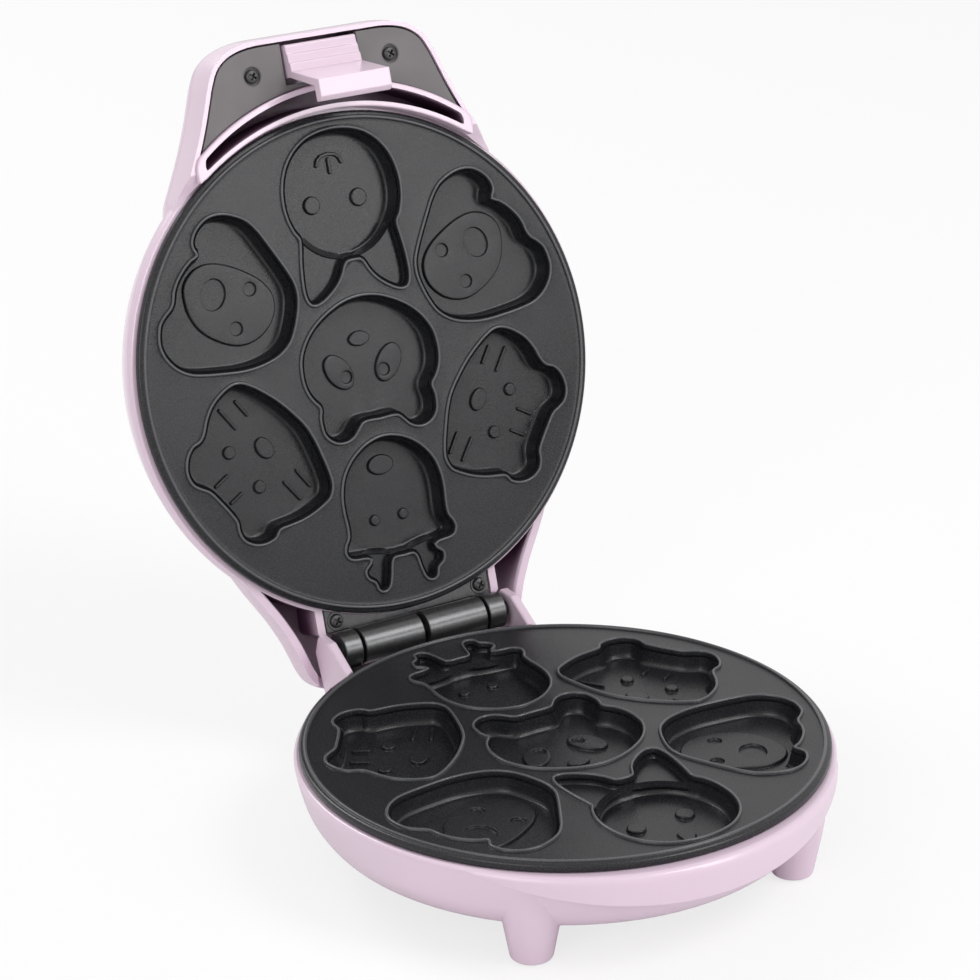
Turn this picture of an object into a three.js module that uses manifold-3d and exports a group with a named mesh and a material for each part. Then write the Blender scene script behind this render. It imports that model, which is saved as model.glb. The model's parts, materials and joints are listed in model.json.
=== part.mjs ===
// A mini cake maker: a base and a hinged lid, each a moulded shell round a cast cook plate with
// seven animal moulds, a ring heater and a heat shield, held together by a two-leaf hinge and a
// sprung front latch. Millimetres, +Z up, the handle towards -Y, the lid standing open.
//
// Both halves are drawn in the closed position, with z = 0 at the crest of the lower plate's
// mould rims and x = y = 0 on the plates' common axis. The lid is then swung open about its pin.
import * as THREE from "three";
import { mergeVertices } from "three/addons/utils/BufferGeometryUtils.js";
import Module from "manifold-3d";

const wasm = await Module();
wasm.setup();

// Driving dimensions.
const plateRadius = 100;
const crestHeight = 44.5;
const crestGap = 1.4;
const skirtHeight = 4.2;
const mouldDepth = 8.5;
const mouldDraft = 2;
const rimHeight = 1;
const rimWidth = 1.5;
const shellGap = 2.4;
const shellWall = 2.4;
const bowlDepth = 26.8;
const drumHeight = 29.6;
const handleLength = 33;
const handleHalfWidthShare = 0.515;
const handleRootHalfWidthShare = 0.57;
const handleRootReachShare = 0.97;
const hingeGap = 9.4;
const hingeDrop = 0.2;
const tailLap = 18;
const tailHalfWidthShare = 0.485;
const pinRadius = 3;
const knuckleRadius = 7.5;
const openAngle = THREE.MathUtils.degToRad(107);
const latchHalfWidth = 15.7;

// Reaches that follow the plate, measured from its axis.
const shellRadius = plateRadius + shellGap;
const handleReach = plateRadius + handleLength;
const handleHalfWidth = handleHalfWidthShare * plateRadius;
const handleRootHalfWidth = handleRootHalfWidthShare * plateRadius;
const handleRootReach = handleRootReachShare * plateRadius;
const hingeReach = plateRadius + hingeGap;
const tailReach = hingeReach + tailLap;
const tailHalfWidth = tailHalfWidthShare * plateRadius;

// Shared small sizes: the gap between pieces that touch, and how far a cut runs past a face.
const seat = 0.3;
const overrun = 3;
const moulding = 2;

// Heights that both halves share.
const bowlRim = -skirtHeight;
const lidRim = crestGap + skirtHeight;
const wideSides = 36;
const panSides = 28;
const smallSides = 12;
const pinSides = 16;
const screwSides = 8;

const plastic = new THREE.MeshStandardMaterial({ color: 0xe8d4e2, roughness: 0.35, metalness: 0 });
const nonStick = new THREE.MeshStandardMaterial({ color: 0x38373a, roughness: 0.5, metalness: 0.2 });
const greyPlastic = new THREE.MeshStandardMaterial({ color: 0x6f6a70, roughness: 0.6, metalness: 0 });
const blackSteel = new THREE.MeshStandardMaterial({ color: 0x1d1c1e, roughness: 0.35, metalness: 0.6 });
const steel = new THREE.MeshStandardMaterial({ color: 0xb9b9bc, roughness: 0.3, metalness: 1 });
const aluminium = new THREE.MeshStandardMaterial({ color: 0xc9cacc, roughness: 0.45, metalness: 1 });
const rubber = new THREE.MeshStandardMaterial({ color: 0xd9d6d2, roughness: 0.8, metalness: 0 });
const ceramic = new THREE.MeshStandardMaterial({ color: 0x2b2a2a, roughness: 0.7, metalness: 0 });
const redLens = new THREE.MeshStandardMaterial({ color: 0xc2352f, roughness: 0.2, metalness: 0 });
const greenLens = new THREE.MeshStandardMaterial({ color: 0x3f9d58, roughness: 0.2, metalness: 0 });

// A closed geometry as a solid that can be joined and cut.
function solid(geometry) {
  const bare = geometry.index ? geometry.clone() : mergeVertices(geometry.clone());
  bare.deleteAttribute("normal");
  bare.deleteAttribute("uv");
  const merged = mergeVertices(bare);
  const places = merged.attributes.position;
  const index = merged.index;
  const corners = [new THREE.Vector3(), new THREE.Vector3(), new THREE.Vector3()];
  const faces = [];
  let volume = 0;
  for (let i = 0; i < index.count; i += 3) {
    const [a, b, c] = [index.getX(i), index.getX(i + 1), index.getX(i + 2)];
    if (a === b || b === c || c === a) continue;
    [a, b, c].forEach((vertex, k) => corners[k].fromBufferAttribute(places, vertex));
    volume += corners[0].dot(corners[1].cross(corners[2]));
    faces.push([a, b, c]);
  }
  const outward = volume > 0 ? faces : faces.map(([a, b, c]) => [a, c, b]);
  return new wasm.Manifold(new wasm.Mesh({
    numProp: 3,
    vertProperties: new Float32Array(places.array),
    triVerts: new Uint32Array(outward.flat()),
  }));
}

function join(...solids) {
  return solids.reduce((whole, next) => whole.add(next));
}

function cut(whole, ...tools) {
  return tools.reduce((left, tool) => left.subtract(tool), whole);
}

function piece(name, shape, finish) {
  const data = shape.getMesh();
  const geometry = new THREE.BufferGeometry();
  geometry.setAttribute("position", new THREE.BufferAttribute(data.vertProperties, 3));
  geometry.setIndex(new THREE.BufferAttribute(data.triVerts, 1));
  geometry.computeVertexNormals();
  const mesh = new THREE.Mesh(geometry, finish);
  mesh.name = name;
  return mesh;
}

// A profile of [radius, height] points, turned about an upright axis at x, y.
function turned(profile, sides, x = 0, y = 0) {
  const points = profile.map(([radius, height]) => new THREE.Vector2(radius, height));
  const onAxis = points[0].x === 0 && points[points.length - 1].x === 0;
  if (!onAxis) points.push(points[0].clone());
  const geometry = new THREE.LatheGeometry(points, sides);
  geometry.rotateX(Math.PI / 2);
  return solid(geometry.translate(x, y, 0));
}

function disc(radius, low, high, sides, x = 0, y = 0) {
  return turned([[0, low], [radius, low], [radius, high], [0, high]], sides, x, y);
}

function block([x0, y0, z0], [x1, y1, z1]) {
  const geometry = new THREE.BoxGeometry(x1 - x0, y1 - y0, z1 - z0);
  return solid(geometry.translate((x0 + x1) / 2, (y0 + y1) / 2, (z0 + z1) / 2));
}

// A round bar along x.
function bar(radius, x0, x1, y, z, sides) {
  const geometry = new THREE.CylinderGeometry(radius, radius, x1 - x0, sides);
  return solid(geometry.rotateZ(Math.PI / 2).translate((x0 + x1) / 2, y, z));
}

// Rings of equally many points, each at its own height, skinned and closed by a fan at both ends.
function loft(rings) {
  const count = rings[0].points.length;
  const places = [];
  const index = [];
  for (const { points, z } of rings) {
    for (const point of points) places.push(point.x, point.y, z);
  }
  for (let ring = 0; ring < rings.length - 1; ring++) {
    for (let i = 0; i < count; i++) {
      const [a, b] = [ring * count + i, ring * count + (i + 1) % count];
      index.push(a, b, b + count, a, b + count, a + count);
    }
  }
  for (const [ring, flip] of [[0, true], [rings.length - 1, false]]) {
    const { points, z } = rings[ring];
    const middle = points.reduce((sum, point) => sum.add(point), new THREE.Vector2());
    middle.divideScalar(count);
    const hub = places.length / 3;
    places.push(middle.x, middle.y, z);
    for (let i = 0; i < count; i++) {
      const [a, b] = [ring * count + i, ring * count + (i + 1) % count];
      index.push(...(flip ? [hub, b, a] : [hub, a, b]));
    }
  }
  const geometry = new THREE.BufferGeometry();
  geometry.setAttribute("position", new THREE.Float32BufferAttribute(places, 3));
  geometry.setIndex(index);
  return solid(geometry);
}

// The rounded hull of circles [x, y, radius], made wider by grow.
function hull(circles, grow, sides) {
  const points = [];
  for (let i = 0; i < sides; i++) {
    const angle = (2 * Math.PI * i) / sides;
    const [c, s] = [Math.cos(angle), Math.sin(angle)];
    const reach = ([x, y, radius]) => x * c + y * s + radius;
    const [x, y, radius] = circles.reduce((far, next) => (reach(next) > reach(far) ? next : far));
    points.push(new THREE.Vector2(x + (radius + grow) * c, y + (radius + grow) * s));
  }
  return points;
}

// The hull of circles [y, z, radius] as a cheek or ear that stands across x.
function cheek(circles, x0, x1, sides) {
  const shape = new THREE.Shape(hull(circles, 0, sides));
  const geometry = new THREE.ExtrudeGeometry(shape, { depth: x1 - x0, bevelEnabled: false });
  const basis = new THREE.Matrix4().makeBasis(
    new THREE.Vector3(0, 1, 0), new THREE.Vector3(0, 0, 1), new THREE.Vector3(1, 0, 0));
  return solid(geometry.applyMatrix4(basis).translate(x0, 0, 0));
}

// Screws: pan heads 2 mm high, driven upwards or downwards.
const screwHeadRadius = 2.8;
const screwHeadHeight = 2;
const screwShankRadius = 1.4;
const screwBoreRadius = 1.75;
const screwCrownShare = 0.75;
const screwDepthShare = 5;
function screw(x, y, headZ, up, length) {
  const way = up ? 1 : -1;
  return turned([
    [0, headZ - way * screwHeadHeight],
    [screwCrownShare * screwHeadRadius, headZ - way * screwHeadHeight],
    [screwHeadRadius, headZ - way * screwHeadHeight / 2],
    [screwHeadRadius, headZ],
    [screwShankRadius, headZ],
    [screwShankRadius, headZ + way * length],
    [0, headZ + way * length],
  ], screwSides, x, y);
}

// The seven moulds, drawn as rounded lobes: [depth share, then circles as shares of the plate's
// radius]. The middle, front and rear heads start with a lobe that is its own mirror image and
// repeat the others on both sides. The side heads come in pairs.
const bearShares = [
  [1, [-0.075, -0.03, 0.24], [0.075, -0.03, 0.24]],
  [1, [0.19, 0.21, 0.08], [0.15, 0.12, 0.08]],
];
const rabbitShares = [
  [1, [0, -0.68, 0.26]],
  [0.7, [0.205, -0.31, 0.032], [0.16, -0.52, 0.05], [0.075, -0.47, 0.04], [0.08, -0.6, 0.04]],
];
const deerShares = [
  [1, [-0.07, 0.45, 0.16], [0.07, 0.45, 0.16], [0.14, 0.66, 0.09], [0, 0.64, 0.15], [-0.14, 0.66, 0.09]],
  [1, [0.2, 0.73, 0.045], [0.15, 0.7, 0.045]],
  [0.6, [0.11, 0.87, 0.045], [0.1, 0.76, 0.045]],
  [0.6, [0.155, 0.845, 0.035], [0.1, 0.83, 0.035]],
];
const tigerShares = [
  [1, [0.33, 0.42, 0.07], [0.38, 0.48, 0.07], [0.58, 0.46, 0.09], [0.64, 0.38, 0.108],
    [0.68, 0.18, 0.105], [0.57, 0.05, 0.08], [0.41, 0.22, 0.08]],
  [1, [0.6, 0.53, 0.085], [0.57, 0.44, 0.085]],
  [1, [0.79, 0.25, 0.08], [0.7, 0.25, 0.08]],
];
const dogShares = [
  [1, [0.56, -0.22, 0.15], [0.4, -0.27, 0.145], [0.43, -0.5, 0.09], [0.62, -0.43, 0.135]],
  [0.8, [0.54, -0.6, 0.1], [0.45, -0.55, 0.1], [0.46, -0.45, 0.1]],
  [0.8, [0.79, -0.23, 0.09], [0.7, -0.22, 0.12], [0.6, -0.24, 0.12]],
];
// Low relief on the mould floors: eyes, noses and mouths, as circles like the lobes'.
const reliefShares = [
  [[-0.06, 0.06, 0.04], [-0.12, -0.02, 0.045]],
  [[0.06, 0.06, 0.04], [0.12, -0.02, 0.045]],
  [[-0.02, -0.1, 0.032], [0.02, -0.1, 0.032]],
  [[-0.1, -0.65, 0.038]],
  [[0.1, -0.65, 0.038]],
  [[-0.05, -0.81, 0.014], [0, -0.83, 0.014], [0.05, -0.81, 0.014]],
  [[-0.065, 0.63, 0.028]],
  [[0.065, 0.63, 0.028]],
  [[-0.02, 0.42, 0.042], [0.02, 0.42, 0.042]],
];
const tigerReliefShares = [
  [[0.54, 0.4, 0.03]],
  [[0.64, 0.25, 0.03]],
  [[0.48, 0.26, 0.035], [0.5, 0.24, 0.035]],
];
const dogReliefShares = [
  [[0.7, -0.35, 0.04], [0.5, -0.2, 0.04], [0.36, -0.3, 0.04], [0.56, -0.48, 0.04]],
];
const mouldSides = 10;
const reliefSides = 6;
const floorHeight = 1;
const plateWall = 2.6;
const skirtWall = 2;

function mirrored(circles) {
  return circles.map(([x, y, radius]) => [-x, y, radius]);
}

function scaled(circles) {
  return circles.map((circle) => circle.map((share) => share * plateRadius));
}

// Each head as a list of lobes { depth, circles }, with a twin across x = 0.
function heads() {
  const lobes = (table) => table.flatMap(([depthShare, ...circles], i) => {
    const depth = depthShare * mouldDepth;
    const lobe = { depth, circles: scaled(circles) };
    return i === 0 ? [lobe] : [lobe, { depth, circles: scaled(mirrored(circles)) }];
  });
  const oneSide = (table, side) => table.map(([depthShare, ...circles]) => ({
    depth: depthShare * mouldDepth,
    circles: scaled(side > 0 ? circles : mirrored(circles)),
  }));
  return [
    lobes(bearShares), lobes(rabbitShares), lobes(deerShares),
    oneSide(tigerShares, 1), oneSide(tigerShares, -1),
    oneSide(dogShares, 1), oneSide(dogShares, -1),
  ];
}

// One cook plate, face up: a cast disc with a rolled skirt, a raised rim round every mould and
// bosses for the heat shield below.
const beadShare = 0.975;
const beadWidth = 2;
const registerShare = 0.978;
const registerDepth = 4;
const bossRadius = 4.5;
const bossReachShare = 0.86;
const bossAngles = [0, 120, 240].map(THREE.MathUtils.degToRad);
const heaterTubeRadius = 3.2;
const underside = -rimHeight - plateWall;
const blockFloor = -mouldDepth - plateWall;
const shieldFace = blockFloor - 2 * heaterTubeRadius - 2 * seat;
const bossPlaces = bossAngles.map((angle) => [
  Math.cos(angle) * bossReachShare * plateRadius, Math.sin(angle) * bossReachShare * plateRadius]);

function cookPlate() {
  const bead = beadShare * plateRadius;
  const register = registerShare * plateRadius;
  const skirtFoot = bowlRim + seat;
  let plate = turned([
    [0, underside], [register - skirtWall, underside],
    [register - skirtWall, skirtFoot - registerDepth], [register, skirtFoot - registerDepth],
    [register, skirtFoot], [plateRadius, skirtFoot],
    [plateRadius, -rimHeight], [plateRadius - rimHeight, -rimHeight / 2],
    [bead + beadWidth / 2, 0], [bead - beadWidth / 2, 0],
    [bead - beadWidth, -rimHeight], [0, -rimHeight],
  ], wideSides);
  const all = heads();
  for (const head of all) {
    const wide = hull(head.flatMap(({ circles }) => circles), rimWidth, mouldSides);
    plate = join(plate, loft([{ points: wide, z: blockFloor }, { points: wide, z: underside + seat }]));
  }
  for (const [x, y] of bossPlaces) {
    plate = join(plate, disc(bossRadius, shieldFace + seat, underside + seat, smallSides, x, y));
  }
  for (const { circles } of all.flat()) {
    plate = join(plate, loft([
      { points: hull(circles, rimWidth + rimHeight, mouldSides), z: -rimHeight - plateWall / 2 },
      { points: hull(circles, rimWidth / 2, mouldSides), z: 0 },
    ]));
  }
  for (const { depth, circles } of all.flat()) {
    plate = cut(plate, loft([
      { points: hull(circles, -mouldDraft, mouldSides), z: -depth },
      { points: hull(circles, rimHeight / 4, mouldSides), z: rimHeight },
    ]));
  }
  const marks = [
    ...reliefShares, ...tigerReliefShares, ...tigerReliefShares.map(mirrored),
    ...dogReliefShares, ...dogReliefShares.map(mirrored),
  ];
  for (const circles of marks.map(scaled)) {
    plate = join(plate, loft([
      { points: hull(circles, 0, reliefSides), z: -mouldDepth - plateWall / 2 },
      { points: hull(circles, -floorHeight / 4, reliefSides), z: -mouldDepth + floorHeight },
    ]));
  }
  for (const [x, y] of bossPlaces) {
    plate = cut(plate, disc(screwBoreRadius, shieldFace - overrun, underside - plateWall, screwSides, x, y));
  }
  return plate;
}

// The tubular heater: a ring under the moulds with both cold ends turned in and down.
const heaterRingShare = 0.58;
const heaterGap = THREE.MathUtils.degToRad(40);
const heaterTail = 14;
function heater() {
  const radius = heaterRingShare * plateRadius;
  const level = blockFloor - seat - heaterTubeRadius;
  const points = [];
  const steps = 36;
  for (let i = 0; i <= steps; i++) {
    const angle = heaterGap / 2 + ((2 * Math.PI - heaterGap) * i) / steps + Math.PI / 2;
    points.push(new THREE.Vector3(radius * Math.cos(angle), radius * Math.sin(angle), level));
  }
  const inward = (point) => new THREE.Vector3(
    point.x * (1 - heaterTail / radius), point.y * (1 - heaterTail / radius), level);
  points.unshift(inward(points[0]));
  points.push(inward(points[points.length - 1]));
  const path = new THREE.CatmullRomCurve3(points, false, "catmullrom", 0.4);
  const section = new THREE.Shape(hull([[0, 0, heaterTubeRadius]], 0, reliefSides));
  return solid(new THREE.ExtrudeGeometry(section, { extrudePath: path, steps: 34, bevelEnabled: false }));
}

// The heat shield: a pressed pan, open in the middle for the thermostat.
const shieldReachShare = 0.92;
const shieldHoleRadius = 11;
const shieldGauge = 0.8;
const shieldUpstand = 6;
const heaterHoleRadius = 5;
function heatShield() {
  const reach = shieldReachShare * plateRadius;
  const face = shieldFace - shieldGauge;
  let pan = turned([
    [shieldHoleRadius, face], [reach, face], [reach, shieldFace + shieldUpstand],
    [reach - shieldGauge, shieldFace + shieldUpstand], [reach - shieldGauge, shieldFace],
    [shieldHoleRadius, shieldFace],
  ], panSides);
  for (const [x, y] of bossPlaces) {
    pan = cut(pan, disc(screwBoreRadius, face - overrun, shieldFace + overrun, screwSides, x, y));
  }
  return pan;
}

// A disc thermostat against the middle mould: body, flange and two terminals.
const thermostatRadius = 8;
const thermostatHeight = 9;
const thermostatFlange = 10;
const bladeHalfWidth = 3;
const bladeGauge = 0.8;
function thermostat() {
  const top = blockFloor - seat;
  const foot = top - thermostatHeight;
  const body = turned([
    [0, foot], [thermostatRadius, foot], [thermostatRadius, top - moulding],
    [thermostatFlange, top - moulding], [thermostatFlange, top], [0, top],
  ], smallSides);
  const blades = [-1, 1].map((side) => {
    const x = side * thermostatRadius / 2;
    return block(
      [x - bladeGauge / 2, -bladeHalfWidth, foot - moulding],
      [x + bladeGauge / 2, bladeHalfWidth, foot + moulding / 2]);
  });
  return join(body, ...blades);
}

// A thermal fuse in its sleeve with a hump clip, screwed flat under the shield.
const fuseRadius = 2;
const fuseHalfLength = 10;
const fuseReachShare = 0.35;
function thermalFuse() {
  const level = shieldFace - shieldGauge - seat - fuseRadius;
  return bar(fuseRadius, -fuseHalfLength, fuseHalfLength, fuseReachShare * plateRadius, level, smallSides);
}

// The base shell: a turned bowl with a crescent nose in front, cheeks for the hinge pin, a shelf
// for the hinge leaf, four legs and an opening below for the cover.
const bowlShares = [
  [0.886, 1], [0.934, 0.776], [0.964, 0.59], [0.974, 0.403], [0.99, 0.216], [0.995, 0.03], [0.991, 0],
];
const ringInnerShare = 0.986;
const bowlFloor = bowlRim - bowlDepth;
const bowlFootShare = 0.82;
const bowlFloorShare = 0.86;
const coverShare = 0.76;
const coverRadius = coverShare * plateRadius;
const coverLap = 5;
const noseOffsetShare = 0.083;
const noseOffset = noseOffsetShare * plateRadius;
const noseShare = 0.975;
const noseRadius = noseShare * plateRadius;
const noseLedge = 13.2;
const noseSlope = THREE.MathUtils.degToRad(15.6);
const legTop = -12;
const legRadius = 11;
const legFootRadius = 8;
const frontLegShares = [0.57, -0.68];
const rearLegShares = [0.36, 0.95];
const legPlaces = [frontLegShares, rearLegShares].flatMap(([across, along]) => [
  [across * plateRadius, along * plateRadius], [-across * plateRadius, along * plateRadius]]);
const padHeight = 2.5;
const padProud = 0.5;
const padRadius = 6;
const cheekInnerShare = 0.4;
const cheekInner = cheekInnerShare * plateRadius;
const cheekThickness = 4;
const cheekOuter = cheekInner + cheekThickness;
const cheekRadius = 7;
const shelfSetback = 6.4;
const shelfReach = hingeReach - shelfSetback;
const leafScrewShare = 0.33;
const leafScrewX = leafScrewShare * plateRadius;
const leafScrewSetback = 4.7;
const leafScrewY = shelfReach - leafScrewSetback;
const leafGap = 0.6;
const leafArc = plateRadius + leafGap;
const leafHalfWidth = cheekInner - moulding;
const leafThickness = 1.6;
const leafBossRadius = 4;
const inletZ = -18;
const inletRadius = 4.5;

function legs() {
  const foot = padProud - crestHeight;
  return legPlaces.map(([x, y]) => turned([
    [0, foot], [legFootRadius - moulding, foot], [legFootRadius, foot + moulding],
    [legRadius, legTop - moulding], [legRadius, legTop], [0, legTop],
  ], smallSides, x, y));
}

function bowlProfile(inset) {
  return bowlShares.map(([radiusShare, depthShare]) => [
    radiusShare * shellRadius - inset, bowlRim - depthShare * bowlDepth]);
}

function nose() {
  const outer = turned([
    [0, bowlRim - noseLedge - overrun], [noseRadius, bowlRim - noseLedge - overrun],
    [noseRadius, bowlRim - moulding], [noseRadius - moulding / 2, bowlRim], [0, bowlRim],
  ], wideSides, 0, -noseOffset);
  const front = noseRadius + noseOffset;
  const below = new THREE.BoxGeometry(2 * front, 3 * front, noseLedge + 2 * overrun);
  below.translate(0, front, -noseLedge / 2 - overrun);
  below.rotateX(noseSlope).translate(0, -front, bowlRim - noseLedge);
  const behind = block([-front, -front / 2, bowlFloor], [front, front, overrun]);
  return cut(outer, solid(below), behind);
}

function baseShell() {
  const outer = bowlProfile(0);
  const inner = bowlProfile(shellWall).filter((point, i) => i % 2 === 1).slice(0, -1);
  const ringInner = ringInnerShare * plateRadius;
  const coverStep = bowlFloor + shellWall + seat;
  const floor = coverStep + shellWall;
  const seatZ = inner[inner.length - 1][1] + moulding;
  const shelfTop = -hingeDrop - knuckleRadius - seat;
  let shell = join(
    turned([[0, bowlFloor], [bowlFootShare * shellRadius, bowlFloor], ...outer, [0, bowlRim]], wideSides),
    nose(),
    ...legs(),
    block(
      [-cheekOuter, leafScrewY - leafBossRadius, bowlFloor + moulding], [cheekOuter, shelfReach, shelfTop]),
    ...[-1, 1].map((side) => cheek([
      [hingeReach, -hingeDrop, cheekRadius], [leafScrewY - cheekRadius / 2, -cheekRadius, cheekRadius],
      [leafScrewY, bowlFloor + cheekRadius, cheekRadius],
    ], side > 0 ? cheekInner : -cheekOuter, side > 0 ? cheekOuter : -cheekInner, smallSides)),
  );
  shell = cut(
    shell,
    turned([
      [0, floor], [bowlFloorShare * shellRadius, floor], ...inner, [ringInner, seatZ],
      [ringInner, bowlRim], [plateRadius + seat, bowlRim],
      [plateRadius + seat, cheekRadius + overrun], [0, cheekRadius + overrun],
    ], wideSides),
    disc(coverRadius - coverLap, bowlFloor - overrun, floor + overrun, panSides),
    disc(coverRadius + seat, bowlFloor - overrun, coverStep, panSides),
    cut(
      block([-leafHalfWidth - seat, 0, shelfTop], [leafHalfWidth + seat, hingeReach, overrun]),
      disc(leafArc - seat, shelfTop - overrun, 2 * overrun, wideSides),
    ),
    bar(pinRadius + seat, -cheekOuter + moulding, cheekOuter - moulding, hingeReach, -hingeDrop, pinSides),
    ...[-1, 1].map((side) => disc(
      screwBoreRadius, shelfTop - screwDepthShare * screwBoreRadius, shelfTop + overrun, screwSides,
      side * leafScrewX, leafScrewY)),
    ...coverScrewPlaces().map(([x, y]) => disc(
      screwBoreRadius, bowlFloor - overrun, floor + overrun, screwSides, x, y)),
    ...legPlaces.map(([x, y]) => disc(
      padRadius + seat, -crestHeight - overrun, padHeight - crestHeight + seat, smallSides, x, y)),
    inletBore(),
  );
  return shell;
}

function inletBore() {
  const geometry = new THREE.CylinderGeometry(inletRadius, inletRadius, 8 * overrun, smallSides);
  return solid(geometry.translate(0, shelfReach - 2 * overrun, inletZ));
}

// The bottom cover: a flat disc let in flush, with a shallow stiffening ring and three screws.
const coverRibShare = 0.6;
const coverScrewAngles = [90, 210, 330].map(THREE.MathUtils.degToRad);
function coverScrewPlaces() {
  const reach = coverRadius - coverLap / 2;
  return coverScrewAngles.map((angle) => [reach * Math.cos(angle), reach * Math.sin(angle)]);
}

function bottomCover() {
  const top = bowlFloor + shellWall;
  const rib = coverRibShare * coverRadius;
  const plain = turned([
    [0, bowlFloor], [rib, bowlFloor], [rib + moulding / 2, bowlFloor + moulding / 2],
    [rib + 2 * moulding, bowlFloor + moulding / 2], [rib + 2.5 * moulding, bowlFloor],
    [coverRadius, bowlFloor], [coverRadius, top], [0, top],
  ], panSides);
  const holes = coverScrewPlaces().flatMap(([x, y]) => [
    disc(screwBoreRadius, bowlFloor - overrun, top + overrun, screwSides, x, y),
  ]);
  return cut(plain, ...holes);
}

// A grommet in the rear wall, where a mains lead would come in.
const grommetLip = 1.5;
const grommetBore = 3;
function grommet() {
  const wallOuter = shelfReach;
  const neck = inletRadius - seat;
  const lip = inletRadius + grommetLip;
  const points = [
    [grommetBore, wallOuter - 3 * grommetLip], [neck, wallOuter - 3 * grommetLip],
    [neck, wallOuter + seat], [lip, wallOuter + seat],
    [lip, wallOuter + grommetLip], [lip - grommetLip / 2, wallOuter + 2 * grommetLip],
    [grommetBore, wallOuter + 2 * grommetLip],
  ].map(([radius, along]) => new THREE.Vector2(radius, along));
  points.push(points[0].clone());
  const geometry = new THREE.LatheGeometry(points, smallSides);
  return solid(geometry.translate(0, 0, inletZ));
}

// Two-pole terminal block on the floor of the bowl, near the inlet.
const terminalLength = 20;
const terminalWidth = 9;
const terminalHeight = 6;
const terminalReachShare = 0.75;
const terminalSideShare = 0.34;
const terminalPoleShares = [0.27, 0.73];
function terminalBlock() {
  const floor = bowlFloor + 2 * shellWall + 2 * seat;
  const x0 = terminalSideShare * plateRadius - terminalLength / 2;
  const y0 = terminalReachShare * plateRadius - terminalWidth;
  const body = block([x0, y0, floor], [x0 + terminalLength, y0 + terminalWidth, floor + terminalHeight]);
  const poles = terminalPoleShares.map((share) => disc(
    terminalWidth / 4, floor + terminalHeight / 2, floor + terminalHeight + overrun, screwSides,
    x0 + share * terminalLength, y0 + terminalWidth / 2));
  return cut(body, ...poles);
}

// A foot pad, pressed into the end of a leg and proud of it.
function footPad([x, y]) {
  return turned([
    [0, -crestHeight], [padRadius - padProud, -crestHeight], [padRadius, padProud - crestHeight],
    [padRadius, padHeight - crestHeight], [0, padHeight - crestHeight],
  ], smallSides, x, y);
}

// The hinge: two like leaves, each with a long and a short knuckle on one pin. The leaf below has
// its long knuckle on the right, and the lid's is the same casting turned over.
const knuckleGap = 1.2;
const shortKnuckleLength = 7.7;
const longKnuckle = [knuckleGap, leafHalfWidth - moulding / 2 - shortKnuckleLength - knuckleGap];
const shortKnuckle = [moulding / 2 - leafHalfWidth, moulding / 2 - leafHalfWidth + shortKnuckleLength];
function hingeLeaf(up) {
  const low = -hingeDrop - (up ? -1 : 1) * knuckleRadius - (up ? leafThickness : 0);
  const turn = up ? -1 : 1;
  const span = ([x0, x1]) => (turn > 0 ? [x0, x1] : [-x1, -x0]);
  let leaf = cut(
    block([-leafHalfWidth, 0, low], [leafHalfWidth, hingeReach, low + leafThickness]),
    disc(leafArc, low - overrun, low + overrun, wideSides),
    block(
      [-leafHalfWidth - overrun, shelfReach, low - overrun],
      [leafHalfWidth + overrun, hingeReach + overrun, low + overrun]),
  );
  for (const [x0, x1] of [span(longKnuckle), span(shortKnuckle)]) {
    leaf = join(
      leaf,
      block([x0, shelfReach - moulding / 2, low], [x1, hingeReach, low + leafThickness]),
      bar(knuckleRadius, x0, x1, hingeReach, -hingeDrop, pinSides),
    );
  }
  return cut(
    leaf,
    bar(pinRadius + seat, -cheekInner - overrun, cheekInner + overrun, hingeReach, -hingeDrop, pinSides),
    ...[-1, 1].map((side) => disc(
      screwBoreRadius, low - overrun, low + overrun, screwSides, side * leafScrewX, leafScrewY)),
  );
}

function hingePin() {
  const end = cheekOuter - moulding - seat;
  return bar(pinRadius, -end, end, hingeReach, -hingeDrop, pinSides);
}

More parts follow.
